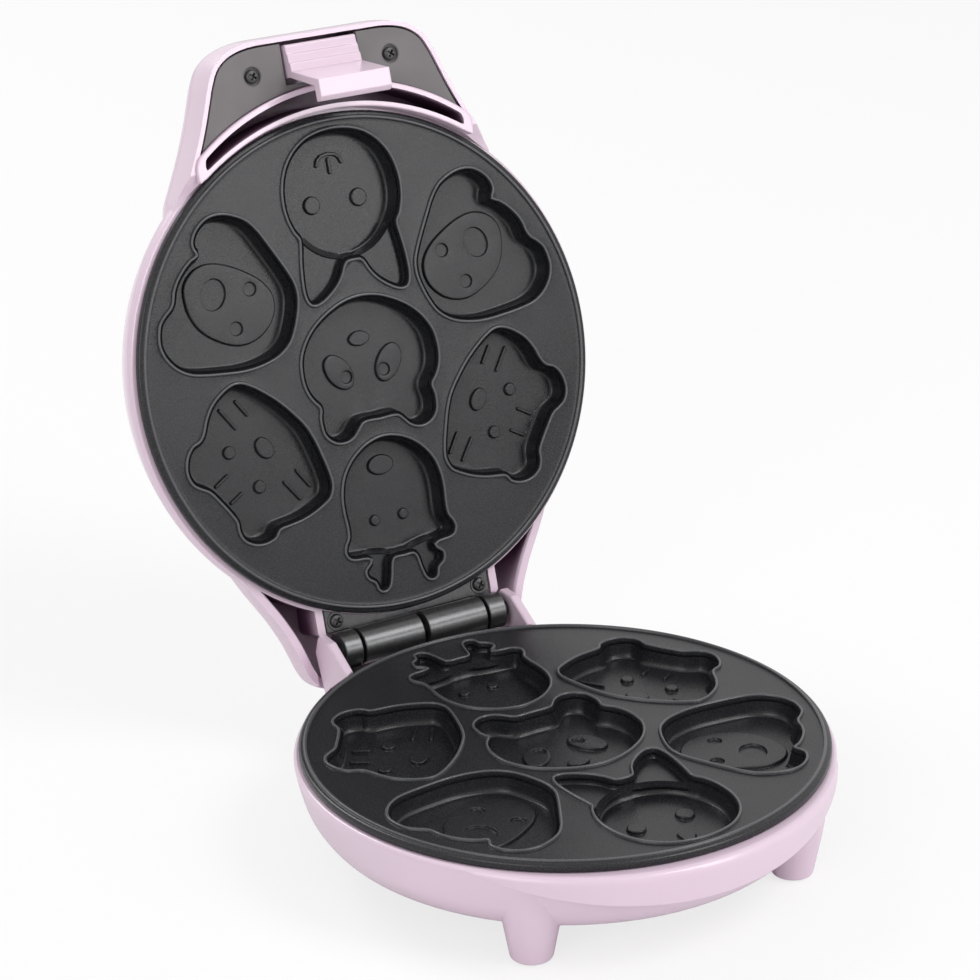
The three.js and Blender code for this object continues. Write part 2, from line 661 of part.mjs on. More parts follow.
// The lid's plan: a straight-fronted handle, an arc that hides inside the round drum, and a tail
// that closes over the hinge. Right half from the front to the rear, then its mirror.
const handleFlatShare = 0.62;
const handleCornerShares = [0.85, 0.97, 0.17, 0.5];
const handleRootShares = [0.24, 0.16, 0.2];
const hiddenArcShare = 0.957;
const shoulderAngles = [-46.4, 44].map(THREE.MathUtils.degToRad);
const tailRootShares = [0.05, 0.092, 0.054, 0.25, 0.09];
const tailCornerShares = [0.96, 0.966, 0.8, 0.984, 0.4];
const planSteps = 34;
function lidPlan() {
  const arc = hiddenArcShare * shellRadius;
  const [front, rear] = shoulderAngles;
  const start = new THREE.Vector2(arc * Math.cos(front), arc * Math.sin(front));
  const end = new THREE.Vector2(arc * Math.cos(rear), arc * Math.sin(rear));
  const lean = (handleRootHalfWidth - handleHalfWidth) / 2;
  const bend = handleReach - handleRootReach;
  const [leave, reach, drop, cornerShare] = handleCornerShares;
  const [rootAlong, startAcross, startAlong] = handleRootShares;
  const [endAcross, endAlong, rootAcross, rootBack, tailBack] = tailRootShares;
  const [bendAcross, bendReach, flatAcross, flatReach, middle] = tailCornerShares;
  const path = new THREE.Path();
  path.moveTo(0, -handleReach);
  path.lineTo(handleFlatShare * handleHalfWidth, -handleReach);
  path.bezierCurveTo(
    leave * handleHalfWidth, -handleReach, reach * handleHalfWidth, -handleReach + drop * bend,
    handleHalfWidth, -handleReach + cornerShare * bend);
  path.lineTo(handleRootHalfWidth, -handleRootReach);
  path.bezierCurveTo(
    handleRootHalfWidth + lean, -handleRootReach + rootAlong * bend,
    start.x - startAcross * bend, start.y - startAlong * bend, start.x, start.y);
  path.absarc(0, 0, arc, front, rear, false);
  path.bezierCurveTo(
    end.x - endAcross * arc, end.y + endAlong * arc,
    tailHalfWidth + rootAcross * arc, tailReach - rootBack * arc, tailHalfWidth, tailReach - tailBack * arc);
  path.quadraticCurveTo(
    bendAcross * tailHalfWidth, bendReach * tailReach, flatAcross * tailHalfWidth, flatReach * tailReach);
  path.quadraticCurveTo(middle * tailHalfWidth, tailReach, 0, tailReach);
  const right = path.getSpacedPoints(planSteps);
  const left = right.slice(1, -1).reverse().map((point) => new THREE.Vector2(-point.x, point.y));
  return [...right, ...left];
}

const plan = lidPlan();
function planRing(grow, z) {
  const points = plan.map((point, i) => {
    const before = plan[(i + plan.length - 1) % plan.length];
    const after = plan[(i + 1) % plan.length];
    const along = after.clone().sub(before).normalize();
    return new THREE.Vector2(point.x + grow * along.y, point.y - grow * along.x);
  });
  return { points, z };
}

// The lid shell: a shallow wing with the plan above, and the round drum that rises out of it.
const drumShares = [
  [0.993, 0], [1, 0.1], [0.995, 0.2], [0.977, 0.37], [0.963, 0.54], [0.933, 0.71], [0.879, 0.88],
  [0.84, 0.946], [0.586, 0.986],
];
const wingHeight = 25;
const wingFlare = 1;
const wingShares = [[-1, 0], [-0.3, 0.22], [0.2, 0.5], [-0.6, 0.72], [-3, 0.88], [-7, 0.97], [-12, 1]];
const ridgeProud = 1.5;
const ridgeWall = 1.6;
const pocketOffsetShare = 0.254;
const pocketOffset = pocketOffsetShare * plateRadius;
const pocketShare = 0.835;
const pocketRadius = pocketShare * plateRadius;
const pocketDepth = 18;
const ringOuterShare = 1.032;
const handleWall = 2;
const tailRoomShare = 0.663;
const panelEndShare = 0.976;
const panelEnd = panelEndShare * plateRadius;
const ridgeEndShare = 0.845;
const ridgeEnd = ridgeEndShare * plateRadius;
const tailLift = 3.4;
const cheekRoom = cheekOuter + moulding / 2;
const handleScrewShare = 0.596;
const handleScrewX = handleScrewShare * handleHalfWidth;
const handleScrewSetback = 14.2;
const handleScrewY = handleReach - handleScrewSetback;
const handleBossRadius = 4.5;
const latchPivotShare = 0.273;
const latchPivotReach = handleReach - latchPivotShare * handleLength;
const latchPivotZ = 6;
const latchPinRadius = 1.5;
const latchRoom = 17;
const lugWall = 2.5;
const lugHalf = 4;
const panelThickness = 2;
const lampReachShare = 0.72;
const lampReach = lampReachShare * plateRadius;
const lampSide = 11;
const roofShare = 0.8;
const lampRadius = 3;

function drumProfile(inset) {
  return drumShares.map(([radiusShare, heightShare]) => [
    radiusShare * shellRadius - inset,
    lidRim + heightShare * drumHeight - (heightShare > roofShare ? inset : 0)]);
}

function wingRings(inset, low, drop) {
  const rings = wingShares.map(([flareShare, heightShare]) => planRing(
    flareShare * wingFlare - inset,
    -ridgeProud + heightShare * (wingHeight + ridgeProud) - (heightShare > roofShare ? drop : 0)));
  rings[0].z = low;
  return rings;
}

// A room inside the wing follows every other ring, one wall thickness in.
function roomRings(inset, low) {
  return wingRings(inset, low, shellWall).filter((ring, i) => i % 2 === 0);
}

function handleEnd(rings, gap, low, high) {
  return cut(
    loft(rings),
    disc(pocketRadius + ridgeWall + gap, low - overrun, high + overrun, wideSides, 0, -pocketOffset),
    block([-shellRadius, -panelEnd - gap, low - overrun], [shellRadius, handleReach, high + overrun]),
  );
}

function lidShell() {
  const ringInner = ringInnerShare * plateRadius;
  const ringOuter = ringOuterShare * plateRadius;
  const roof = wingHeight - shellWall;
  const reach = handleReach + overrun;
  const low = -ridgeProud - overrun;
  const shelf = -hingeDrop + knuckleRadius + seat;
  const outer = drumProfile(0);
  const inner = drumProfile(shellWall).filter((point, i) => i > 1 && i % 2 === 0);
  const wing = loft(wingRings(0, -ridgeProud, 0));
  const drum = turned([[0, lidRim], ...outer, [0, lidRim + drumHeight]], wideSides);
  const ridge = cut(
    disc(pocketRadius + ridgeWall, low, overrun, wideSides, 0, -pocketOffset),
    disc(pocketRadius, low - overrun, 2 * overrun, wideSides, 0, -pocketOffset),
  );
  const underHandle = cut(block([-reach, -reach, low], [reach, reach, 0]), ridge);
  const underRim = join(
    disc(ringOuter, low, lidRim, wideSides),
    block([-reach, -ridgeEnd, low], [reach, reach, lidRim]),
  );
  const pocket = cut(
    disc(pocketRadius, low, pocketDepth, wideSides, 0, -pocketOffset),
    disc(ringOuter, low - overrun, pocketDepth + overrun, wideSides),
  );
  const handleRoom = handleEnd(roomRings(handleWall, low), 0, low, wingHeight);
  const tailRoom = cut(
    loft(roomRings(shellWall, low)),
    disc(ringOuter, low - overrun, wingHeight, wideSides),
    block([-reach, -reach, low - overrun], [reach, tailRoomShare * plateRadius, wingHeight]),
    block([-leafHalfWidth - moulding, 0, shelf], [leafHalfWidth + moulding, shelfReach, shelf + moulding]),
    ...[-1, 1].map((side) => disc(
      leafBossRadius, shelf, wingHeight, smallSides, side * leafScrewX, leafScrewY)),
  );
  let shell = cut(
    join(wing, drum),
    underHandle,
    underRim,
    pocket,
    handleRoom,
    tailRoom,
    turned([
      [0, low], [ringInner, low], [ringInner, inner[0][1]], ...inner.slice(1),
      [0, lidRim + drumHeight - shellWall],
    ], wideSides),
    cut(
      block([-leafHalfWidth - seat, 0, low], [leafHalfWidth + seat, shelfReach + seat, shelf]),
      disc(leafArc - seat, low - overrun, 2 * shelf, wideSides),
    ),
    block([-cheekRoom, shelfReach + seat, low], [cheekRoom, reach, lidRim + tailLift]),
  );
  const bosses = [-1, 1].map((side) => disc(
    handleBossRadius, panelThickness + 2 * seat, roof + seat, smallSides,
    side * handleScrewX, -handleScrewY));
  const lugs = [-1, 1].map((side) => block(
    [side > 0 ? latchRoom : -latchRoom - lugWall, -latchPivotReach - lugHalf, panelThickness + 2 * seat],
    [side > 0 ? latchRoom + lugWall : -latchRoom, -latchPivotReach + lugHalf, roof + seat]));
  shell = join(shell, ...bosses, ...lugs);
  return cut(
    shell,
    ...[-1, 1].map((side) => disc(
      screwBoreRadius, -overrun, roof / 2, screwSides, side * handleScrewX, -handleScrewY)),
    ...[-1, 1].map((side) => disc(
      screwBoreRadius, low, shelf + screwDepthShare * screwBoreRadius, screwSides,
      side * leafScrewX, leafScrewY)),
    bar(latchPinRadius + seat, -latchRoom - lugWall - overrun, latchRoom + lugWall + overrun,
      -latchPivotReach, latchPivotZ, smallSides),
    ...[-1, 1].map((side) => disc(
      lampRadius + seat, lidRim + drumHeight / 2, lidRim + drumHeight + overrun, smallSides,
      side * lampSide, -lampReach)),
  );
}

// The handle's underside: a grey panel with two sunk screw holes and the latch's window.
const panelHoleRadius = 3.4;
const windowSetbackShare = 0.06;
const windowShare = 0.54;
function handlePanel() {
  const low = seat;
  const high = seat + panelThickness;
  const ledge = low + panelThickness / 2;
  const windowFront = handleReach - windowSetbackShare * handleLength;
  const windowRear = windowFront - windowShare * handleLength;
  return cut(
    handleEnd([planRing(-handleWall - seat - wingFlare, low), planRing(-handleWall - seat - wingFlare, high)],
      seat, low, high),
    block([-latchRoom, -windowFront, low - overrun], [latchRoom, -windowRear, high + overrun]),
    ...[-1, 1].flatMap((side) => [
      disc(panelHoleRadius, low - overrun, ledge, smallSides, side * handleScrewX, -handleScrewY),
      disc(screwBoreRadius, low - overrun, high + overrun, smallSides, side * handleScrewX, -handleScrewY),
    ]),
  );
}

// The latch: a thumb piece in the panel's window, its leg and the lip that hooks under the nose.
const latchSetbackShare = 0.127;
const latchShare = 0.394;
const latchFront = handleReach - latchSetbackShare * handleLength;
const latchRear = latchFront - latchShare * handleLength;
const latchProud = 2;
const legGauge = 2;
const lipBite = 0.6;
const lipReach = noseRadius + noseOffset - lipBite;
const lipLength = 7.4;
const lipHeel = lipReach + lipLength;
const lipFoot = 25.5;
const lipHeight = 4.4;
const earGauge = 3;
const earRadius = 3.2;
function latch() {
  const corner = latchProud;
  const outline = new THREE.Shape();
  outline.moveTo(-latchFront, moulding / 2);
  outline.lineTo(-latchFront, -latchProud + corner);
  outline.quadraticCurveTo(-latchFront, -latchProud, -latchFront + corner, -latchProud);
  outline.lineTo(-latchRear - legGauge, -latchProud);
  outline.lineTo(-lipHeel - legGauge / 2, -lipFoot + corner);
  outline.quadraticCurveTo(-lipHeel - legGauge / 2, -lipFoot, -lipHeel + corner, -lipFoot);
  outline.lineTo(-lipReach - corner, -lipFoot);
  outline.quadraticCurveTo(-lipReach, -lipFoot, -lipReach, -lipFoot + corner);
  outline.lineTo(-lipReach, -lipFoot + lipHeight);
  outline.lineTo(-lipHeel + legGauge, -lipFoot + lipHeight);
  outline.lineTo(-latchRear, moulding / 2);
  const depth = 2 * latchHalfWidth;
  const geometry = new THREE.ExtrudeGeometry(outline, { depth, bevelEnabled: false, curveSegments: 4 });
  const basis = new THREE.Matrix4().makeBasis(
    new THREE.Vector3(0, 1, 0), new THREE.Vector3(0, 0, 1), new THREE.Vector3(1, 0, 0));
  const body = solid(geometry.applyMatrix4(basis).translate(-latchHalfWidth, 0, 0));
  const ears = [-1, 1].map((side) => cheek([
    [-latchPivotReach, latchPivotZ, earRadius], [-latchPivotReach, 0, earRadius],
  ], side > 0 ? latchHalfWidth - earGauge : -latchHalfWidth,
  side > 0 ? latchHalfWidth : earGauge - latchHalfWidth, smallSides));
  return cut(
    join(body, ...ears),
    bar(latchPinRadius + seat, -latchHalfWidth - overrun, latchHalfWidth + overrun,
      -latchPivotReach, latchPivotZ, smallSides),
  );
}

function latchPin() {
  const end = latchRoom + lugWall;
  return bar(latchPinRadius, -end, end, -latchPivotReach, latchPivotZ, smallSides);
}

// The latch's torsion spring: turns round the pin, with one leg forward and one back.
const springWire = 0.5;
const springCoil = 2.6;
const springTurns = 5;
const springPitch = 1.6;
const springLeg = 3.4;
function latchSpring() {
  const points = [];
  const perTurn = 8;
  const steps = springTurns * perTurn;
  const startX = (-springTurns * springPitch) / 2;
  for (let i = 0; i <= steps; i++) {
    const angle = (2 * Math.PI * i) / perTurn;
    points.push(new THREE.Vector3(
      startX + (springPitch * i) / perTurn,
      -latchPivotReach - springCoil * Math.sin(angle),
      latchPivotZ + springCoil * Math.cos(angle)));
  }
  let closest = Infinity;
  for (let i = 0; i + perTurn <= steps; i++) {
    closest = Math.min(closest, points[i].distanceTo(points[i + perTurn]) - 2 * springWire);
  }
  console.log(`latch spring: least gap to itself ${closest.toFixed(2)} mm`);
  points.unshift(points[0].clone().add(new THREE.Vector3(0, springLeg, 0)));
  points.push(points[points.length - 1].clone().add(new THREE.Vector3(0, -springLeg, 0)));
  const path = new THREE.CatmullRomCurve3(points, false, "centripetal");
  const section = new THREE.Shape(hull([[0, 0, springWire]], 0, 5));
  const stretch = { extrudePath: path, steps: steps + 4, bevelEnabled: false };
  return solid(new THREE.ExtrudeGeometry(section, stretch));
}

// A lamp lens with a domed head, let into the top of the drum.
function lampLens(side) {
  const seatZ = lidRim + drumHeight;
  return turned([
    [0, seatZ - 3 * moulding], [lampRadius, seatZ - 3 * moulding], [lampRadius, seatZ],
    [lampRadius / 2, seatZ + moulding / 2], [0, seatZ + moulding / 2],
  ], smallSides, side * lampSide, -lampReach);
}

// The base, at rest on the table.
const base = new THREE.Group();
base.add(
  piece("base_shell", baseShell(), plastic),
  piece("base_cook_plate", cookPlate(), nonStick),
  piece("base_heater", heater(), steel),
  piece("base_heat_shield", heatShield(), aluminium),
  piece("base_thermostat", thermostat(), ceramic),
  piece("base_thermal_fuse", thermalFuse(), steel),
  piece("terminal_block", terminalBlock(), ceramic),
  piece("base_bottom_cover", bottomCover(), plastic),
  piece("cord_grommet", grommet(), ceramic),
  piece("base_hinge_leaf", hingeLeaf(false), blackSteel),
  piece("hinge_pin", hingePin(), steel),
);
["front_right", "front_left", "rear_right", "rear_left"].forEach((corner, i) => {
  base.add(piece(`foot_pad_${corner}`, footPad(legPlaces[i]), rubber));
});
coverScrewPlaces().forEach(([x, y], i) => {
  base.add(piece(`cover_screw_${i + 1}`, screw(x, y, bowlFloor - seat, true, 4 * shellWall), steel));
});
const shieldScrewZ = shieldFace - shieldGauge - seat;
const shieldScrewLength = blockFloor - shieldFace;
bossPlaces.forEach(([x, y], i) => {
  const fixing = screw(x, y, shieldScrewZ, true, shieldScrewLength);
  base.add(piece(`base_shield_screw_${i + 1}`, fixing, steel));
});
["left", "right"].forEach((name, i) => {
  const x = (i === 0 ? -1 : 1) * leafScrewX;
  const headZ = -hingeDrop - knuckleRadius + leafThickness + seat;
  base.add(piece(`base_hinge_screw_${name}`, screw(x, leafScrewY, headZ, false, 3 * leafThickness), steel));
});

// The lid in the closed position. What hangs under the upper plate is the lower set turned over.
const lid = new THREE.Group();
const upper = new THREE.Group();
upper.rotation.y = Math.PI;
upper.position.z = crestGap;
upper.add(
  piece("lid_cook_plate", cookPlate(), nonStick),
  piece("lid_heater", heater(), steel),
  piece("lid_heat_shield", heatShield(), aluminium),
  piece("lid_thermostat", thermostat(), ceramic),
  piece("lid_thermal_fuse", thermalFuse(), steel),
);
bossPlaces.forEach(([x, y], i) => {
  const fixing = screw(x, y, shieldScrewZ, true, shieldScrewLength);
  upper.add(piece(`lid_shield_screw_${i + 1}`, fixing, steel));
});
lid.add(
  piece("lid_shell", lidShell(), plastic),
  upper,
  piece("lid_hinge_leaf", hingeLeaf(true), blackSteel),
  piece("handle_panel", handlePanel(), greyPlastic),
  piece("latch", latch(), plastic),
  piece("latch_pin", latchPin(), steel),
  piece("latch_spring", latchSpring(), steel),
  piece("power_lamp", lampLens(-1), redLens),
  piece("ready_lamp", lampLens(1), greenLens),
);
["left", "right"].forEach((name, i) => {
  const side = i === 0 ? -1 : 1;
  const leafZ = -hingeDrop + knuckleRadius - leafThickness - seat;
  const panelZ = panelThickness / 2 + seat;
  const leafScrew = screw(side * leafScrewX, leafScrewY, leafZ, true, 3 * leafThickness);
  const panelScrew = screw(side * handleScrewX, -handleScrewY, panelZ, true, 4 * panelThickness);
  lid.add(
    piece(`lid_hinge_screw_${name}`, leafScrew, steel),
    piece(`handle_screw_${name}`, panelScrew, steel),
  );
});

// Swing the lid open about the pin, then stand the whole on the table, centred on its footprint.
const hinge = new THREE.Group();
hinge.position.set(0, hingeReach, -hingeDrop);
hinge.rotation.x = -openAngle;
lid.position.set(0, -hingeReach, hingeDrop);
hinge.add(lid);

const cakeMaker = new THREE.Group();
cakeMaker.add(base, hinge);
cakeMaker.updateMatrixWorld(true);
const bounds = new THREE.Box3().setFromObject(cakeMaker, true);
const size = bounds.getSize(new THREE.Vector3());
const told = (vector, digits) => vector.toArray().map((value) => value.toFixed(digits)).join(", ");
cakeMaker.position.set(0, -(bounds.min.y + bounds.max.y) / 2, crestHeight);
cakeMaker.updateMatrixWorld(true);

const pinPlace = hinge.localToWorld(new THREE.Vector3());
const latchPlace = lid.localToWorld(new THREE.Vector3(0, -latchPivotReach, latchPivotZ));
console.log("hinge axis at", told(pinPlace, 3));
console.log("latch axis at", told(latchPlace, 3));
console.log("whole size", told(size, 2));

export default cakeMaker;
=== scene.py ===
import json
import math

import bmesh
import bpy
from mathutils import Matrix, Vector, geometry


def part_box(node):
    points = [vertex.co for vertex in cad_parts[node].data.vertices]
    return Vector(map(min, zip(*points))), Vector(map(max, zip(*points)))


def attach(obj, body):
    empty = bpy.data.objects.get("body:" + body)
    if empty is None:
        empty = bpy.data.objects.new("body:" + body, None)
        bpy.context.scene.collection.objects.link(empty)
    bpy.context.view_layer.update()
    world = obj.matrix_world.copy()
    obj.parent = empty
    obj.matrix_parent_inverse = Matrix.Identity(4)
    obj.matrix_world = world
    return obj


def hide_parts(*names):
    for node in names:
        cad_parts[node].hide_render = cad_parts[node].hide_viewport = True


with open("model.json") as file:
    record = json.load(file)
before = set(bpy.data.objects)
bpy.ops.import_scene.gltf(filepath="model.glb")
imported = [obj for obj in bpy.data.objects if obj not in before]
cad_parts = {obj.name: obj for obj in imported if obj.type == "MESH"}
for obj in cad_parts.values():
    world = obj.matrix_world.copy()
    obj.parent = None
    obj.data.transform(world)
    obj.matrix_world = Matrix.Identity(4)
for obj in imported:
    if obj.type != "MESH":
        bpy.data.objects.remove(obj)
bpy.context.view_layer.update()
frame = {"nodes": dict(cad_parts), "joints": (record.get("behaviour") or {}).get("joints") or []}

# Camera: a long lens in front of the machine, to its left and a little above it, as a catalogue
# picture is taken. Angles are in degrees, the place is in metres.
view_azimuth, view_elevation, view_roll = -30.715, 22.621, -0.823
view_place = (-0.59703, -1.00046, 0.61226)
camera = bpy.data.cameras.new("camera")
camera.lens = 122.86
camera.sensor_width = 36
camera_stand = bpy.data.objects.new("camera", camera)
bpy.context.scene.collection.objects.link(camera_stand)
camera_stand.matrix_world = (
    Matrix.Translation(view_place)
    @ Matrix.Rotation(math.radians(view_azimuth), 4, "Z")
    @ Matrix.Rotation(math.radians(90 - view_elevation), 4, "X")
    @ Matrix.Rotation(math.radians(view_roll), 4, "Z")
)
bpy.context.scene.camera = camera_stand
bpy.context.scene.view_settings.view_transform = "Standard"


# Studio: a white sweep that keeps the machine's shadow, four soft boxes, and a white room that the
# camera and the gloss see. Every finish below is made of nodes with these two classes.
class Wire:
    """One output of a node, which takes part in sums."""

    def __init__(self, finish, socket):
        self.finish, self.socket = finish, socket

    def reckon(self, operation, first, second):
        return self.finish.node("ShaderNodeMath", {"operation": operation}, {0: first, 1: second})

    def __add__(self, other):
        return self.reckon("ADD", self, other)

    def __sub__(self, other):
        return self.reckon("SUBTRACT", self, other)

    def __rsub__(self, other):
        return self.reckon("SUBTRACT", other, self)

    def __mul__(self, other):
        return self.reckon("MULTIPLY", self, other)

    __radd__ = __add__
    __rmul__ = __mul__


class Finish:
    """A material: its shader, the values that are the same all over, and the nodes that feed it."""

    def __init__(self, name, tree=None, **values):
        if tree is None:
            self.material = bpy.data.materials.new(name)
            self.material.use_nodes = True
            tree = self.material.node_tree
        self.tree = tree
        self.shader = tree.nodes.get("Principled BSDF")
        for socket, value in values.items():
            self.shader.inputs[socket.replace("_", " ")].default_value = value

    def node(self, kind, settings=None, sockets=None, output=0):
        made = self.tree.nodes.new(kind)
        for key, value in (settings or {}).items():
            if key == "stops":
                for stop, (place, shade) in zip(made.color_ramp.elements, value):
                    stop.position, stop.color = place, (shade, shade, shade, 1)
            else:
                setattr(made, key, value)
        for key, value in (sockets or {}).items():
            self.join(made.inputs[key], value)
        return Wire(self, made.outputs[output])

    def join(self, socket, value):
        if isinstance(value, Wire):
            self.tree.links.new(value.socket, socket)
        else:
            socket.default_value = value

    def feed(self, **values):
        for socket, value in values.items():
            self.join(self.shader.inputs[socket.replace("_", " ")], value)

    def noise(self, scale, detail=2.0, stretch=(1, 1, 1)):
        where = self.node("ShaderNodeTexCoord", output="Object")
        where = self.node("ShaderNodeMapping", None, {"Vector": where, "Scale": stretch})
        return self.node("ShaderNodeTexNoise", None, {"Vector": where, "Scale": scale, "Detail": detail})

    def mixed(self, factor, first, second):
        return self.node(
            "ShaderNodeMix", {"data_type": "RGBA"}, {0: factor, 6: (*first, 1), 7: (*second, 1)}, output=2
        )

    def bump(self, height, strength, distance):
        self.feed(Normal=self.node(
            "ShaderNodeBump", None, {"Height": height, "Strength": strength, "Distance": distance}
        ))


white, room_light = (1, 1, 1, 1), 0.5
world = bpy.data.worlds.new("room")
world.use_nodes = True
bpy.context.scene.world = world
room = Finish("room", world.node_tree)
camera_ray = room.node("ShaderNodeLightPath", output="Is Camera Ray")
rays = camera_ray.socket.node.outputs
seen = camera_ray + Wire(room, rays["Is Glossy Ray"]) + Wire(room, rays["Is Transmission Ray"])
seen = room.node("ShaderNodeMath", {"operation": "MINIMUM"}, {0: seen, 1: 1.0})
backdrop = world.node_tree.nodes["Background"]
room.join(backdrop.inputs["Color"], white)
room.join(backdrop.inputs["Strength"], room_light + seen * (1 - room_light))

floor_size, floor_glow = 24, 0.75
sweep = bmesh.new()
bmesh.ops.create_grid(sweep, x_segments=1, y_segments=1, size=floor_size / 2)
floor_mesh = bpy.data.meshes.new("floor")
sweep.to_mesh(floor_mesh)
sweep.free()
floor = bpy.data.objects.new("floor", floor_mesh)
bpy.context.scene.collection.objects.link(floor)
paper = Finish("floor_paper", Base_Color=(0.86, 0.86, 0.86, 1), Roughness=0.9, Specular_IOR_Level=0.1)
lit = Wire(paper, paper.shader.outputs[0])
glow = paper.node("ShaderNodeEmission", None, {"Color": white, "Strength": 1.0})
camera_ray = paper.node("ShaderNodeLightPath", output="Is Camera Ray")
surface = paper.node("ShaderNodeMixShader", None, {0: camera_ray * floor_glow, 1: lit, 2: glow})
paper.join(paper.tree.nodes["Material Output"].inputs["Surface"], surface)
floor.data.materials.append(paper.material)

lamp_aim = Vector((0, 0, 0.12))
for name, place, size, power in (
    ("key_box", (0.9, -1.3, 2.0), 1.0, 23),
    ("sheen_box", (0.56, -1.05, 0.56), 0.32, 2.2),
    ("fill_box", (-1.8, -1.1, 1.1), 1.2, 12),
    ("back_box", (-0.5, 1.7, 1.6), 1.0, 18),
):
    lamp = bpy.data.lights.new(name, "AREA")
    lamp.size, lamp.energy = size, power
    stand = bpy.data.objects.new(name, lamp)
    bpy.context.scene.collection.objects.link(stand)
    stand.location = place
    stand.rotation_euler = (lamp_aim - Vector(place)).to_track_quat("-Z", "Y").to_euler()


# Shared frame of the two halves: sizes below are millimetres about the axis of the round cook
# plates, closed, with the lower plate's crest at zero. The lid then swings open about its hinge.
plate_low, plate_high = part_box("base_cook_plate")
base_place = (
    Matrix.Translation(((plate_low.x + plate_high.x) / 2, (plate_low.y + plate_high.y) / 2, plate_high.z))
    @ Matrix.Scale(0.001, 4)
)
hinge = next(joint for joint in frame["joints"] if joint["name"] == "lid_hinge")
hinge_at = Vector(hinge["pos_m"])
lid_place = (
    Matrix.Translation(hinge_at)
    @ Matrix.Rotation(-math.radians(hinge["range_deg"][1]), 4, "X")
    @ Matrix.Translation(-hinge_at)
    @ base_place
)


def turned(profile, steps=144, x=0.0, y=0.0):
    """A closed profile of (radius, height) turned round an upright axis."""
    weld = 0.0005
    bm = bmesh.new()
    ring = [bm.verts.new((radius, 0, height)) for radius, height in profile]
    edges = [bm.edges.new((a, b)) for a, b in zip(ring, ring[1:])]
    if profile[0][0] > 0:
        edges.append(bm.edges.new((ring[-1], ring[0])))
    bmesh.ops.spin(bm, geom=ring + edges, cent=(0, 0, 0), axis=(0, 0, 1), angle=2 * math.pi, steps=steps,
                   use_merge=True, use_duplicate=False)
    bmesh.ops.remove_doubles(bm, verts=bm.verts, dist=weld)
    bmesh.ops.recalc_face_normals(bm, faces=bm.faces)
    bmesh.ops.translate(bm, verts=bm.verts, vec=(x, y, 0))
    return bm


def disc(radius, low, high, x=0.0, y=0.0, steps=96):
    return turned([(0, low), (radius, low), (radius, high), (0, high)], steps, x, y)


def block(low, high):
    bm = bmesh.new()
    middle = [(a + b) / 2 for a, b in zip(low, high)]
    size = [b - a for a, b in zip(low, high)]
    bmesh.ops.create_cube(bm, size=1, matrix=Matrix.Translation(middle) @ Matrix.Diagonal((*size, 1)))
    return bm


def bar(radius, x0, x1, y, z, steps=64):
    """A round bar that lies across the machine."""
    bm = bmesh.new()
    bmesh.ops.create_cone(
        bm, cap_ends=True, segments=steps, radius1=radius, radius2=radius, depth=x1 - x0,
        matrix=Matrix.Translation(((x0 + x1) / 2, y, z)) @ Matrix.Rotation(math.pi / 2, 4, "Y"))
    return bm


def bow(before, here, there, after, parts):
    """Points from here almost to there, on a curve that heeds the points before and after them."""
    reach = (there - here).length / 3
    return geometry.interpolate_bezier(
        here, here + (there - before).normalized() * reach,
        there - (after - here).normalized() * reach, there, parts + 1)[:-1]


def smooth_path(points, parts=5):
    """An open run of points, rounded by a curve through all of them."""
    knots = [Vector((*point, 0)) for point in points]
    path = []
    for i, (here, there) in enumerate(zip(knots, knots[1:])):
        before, after = knots[max(i - 1, 0)], knots[min(i + 2, len(knots) - 1)]
        path += bow(before, here, there, after, parts)
    return [tuple(point.xy) for point in path] + [points[-1]]


def smooth_loop(points, spacing=1.1):
    """A closed run of points on a smooth curve through the given ones, about one spacing apart."""
    knots = [Vector((*point, 0)) for point in points]
    count = len(knots)
    path = []
    for i, here in enumerate(knots):
        before, there, after = knots[i - 1], knots[(i + 1) % count], knots[(i + 2) % count]
        path += bow(before, here, there, after, max(2, round((there - here).length / spacing)))
    area = sum(a.x * b.y - a.y * b.x for a, b in zip(path, path[1:] + path[:1]))
    path = path if area > 0 else path[::-1]
    return [tuple(point.xy) for point in path]


def combine(operation, body, *tools):
    """The body joined with each tool or cut by it, in turn."""
    things = []
    for bm in (body, *tools):
        mesh = bpy.data.meshes.new("work")
        bm.to_mesh(mesh)
        bm.free()
        things.append(bpy.data.objects.new("work", mesh))
        bpy.context.scene.collection.objects.link(things[-1])
    for tool in things[1:]:
        step = things[0].modifiers.new("step", "BOOLEAN")
        step.operation, step.solver, step.object = operation, "MANIFOLD", tool
    bpy.context.view_layer.update()
    result = bmesh.new()
    result.from_object(things[0], bpy.context.evaluated_depsgraph_get())
    for thing in things:
        bpy.data.meshes.remove(thing.data)
    return result


def piece(name, bm, place, body, slot, finish, *replaced, smooth=34):
    """A finished piece of the machine: placed in metres, smoothed, dressed, and put on its body."""
    bmesh.ops.transform(bm, matrix=place, verts=bm.verts)
    mesh = bpy.data.meshes.new(name)
    bm.to_mesh(mesh)
    bm.free()
    mesh.polygons.foreach_set("use_smooth", [True] * len(mesh.polygons))
    mesh.set_sharp_from_angle(angle=math.radians(smooth))
    thing = bpy.data.objects.new(name, mesh)
    bpy.context.scene.collection.objects.link(thing)
    mesh.materials.append(finish.material)
    flats = thing.modifiers.new("flats", "WEIGHTED_NORMAL")
    flats.keep_sharp = True
    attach(thing, body)
    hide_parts(*replaced)


def dress(finish, *nodes):
    """Solids whose shape is right already get their finish."""
    for node in nodes:
        for slot in frame["nodes"][node].material_slots:
            slot.material = finish.material


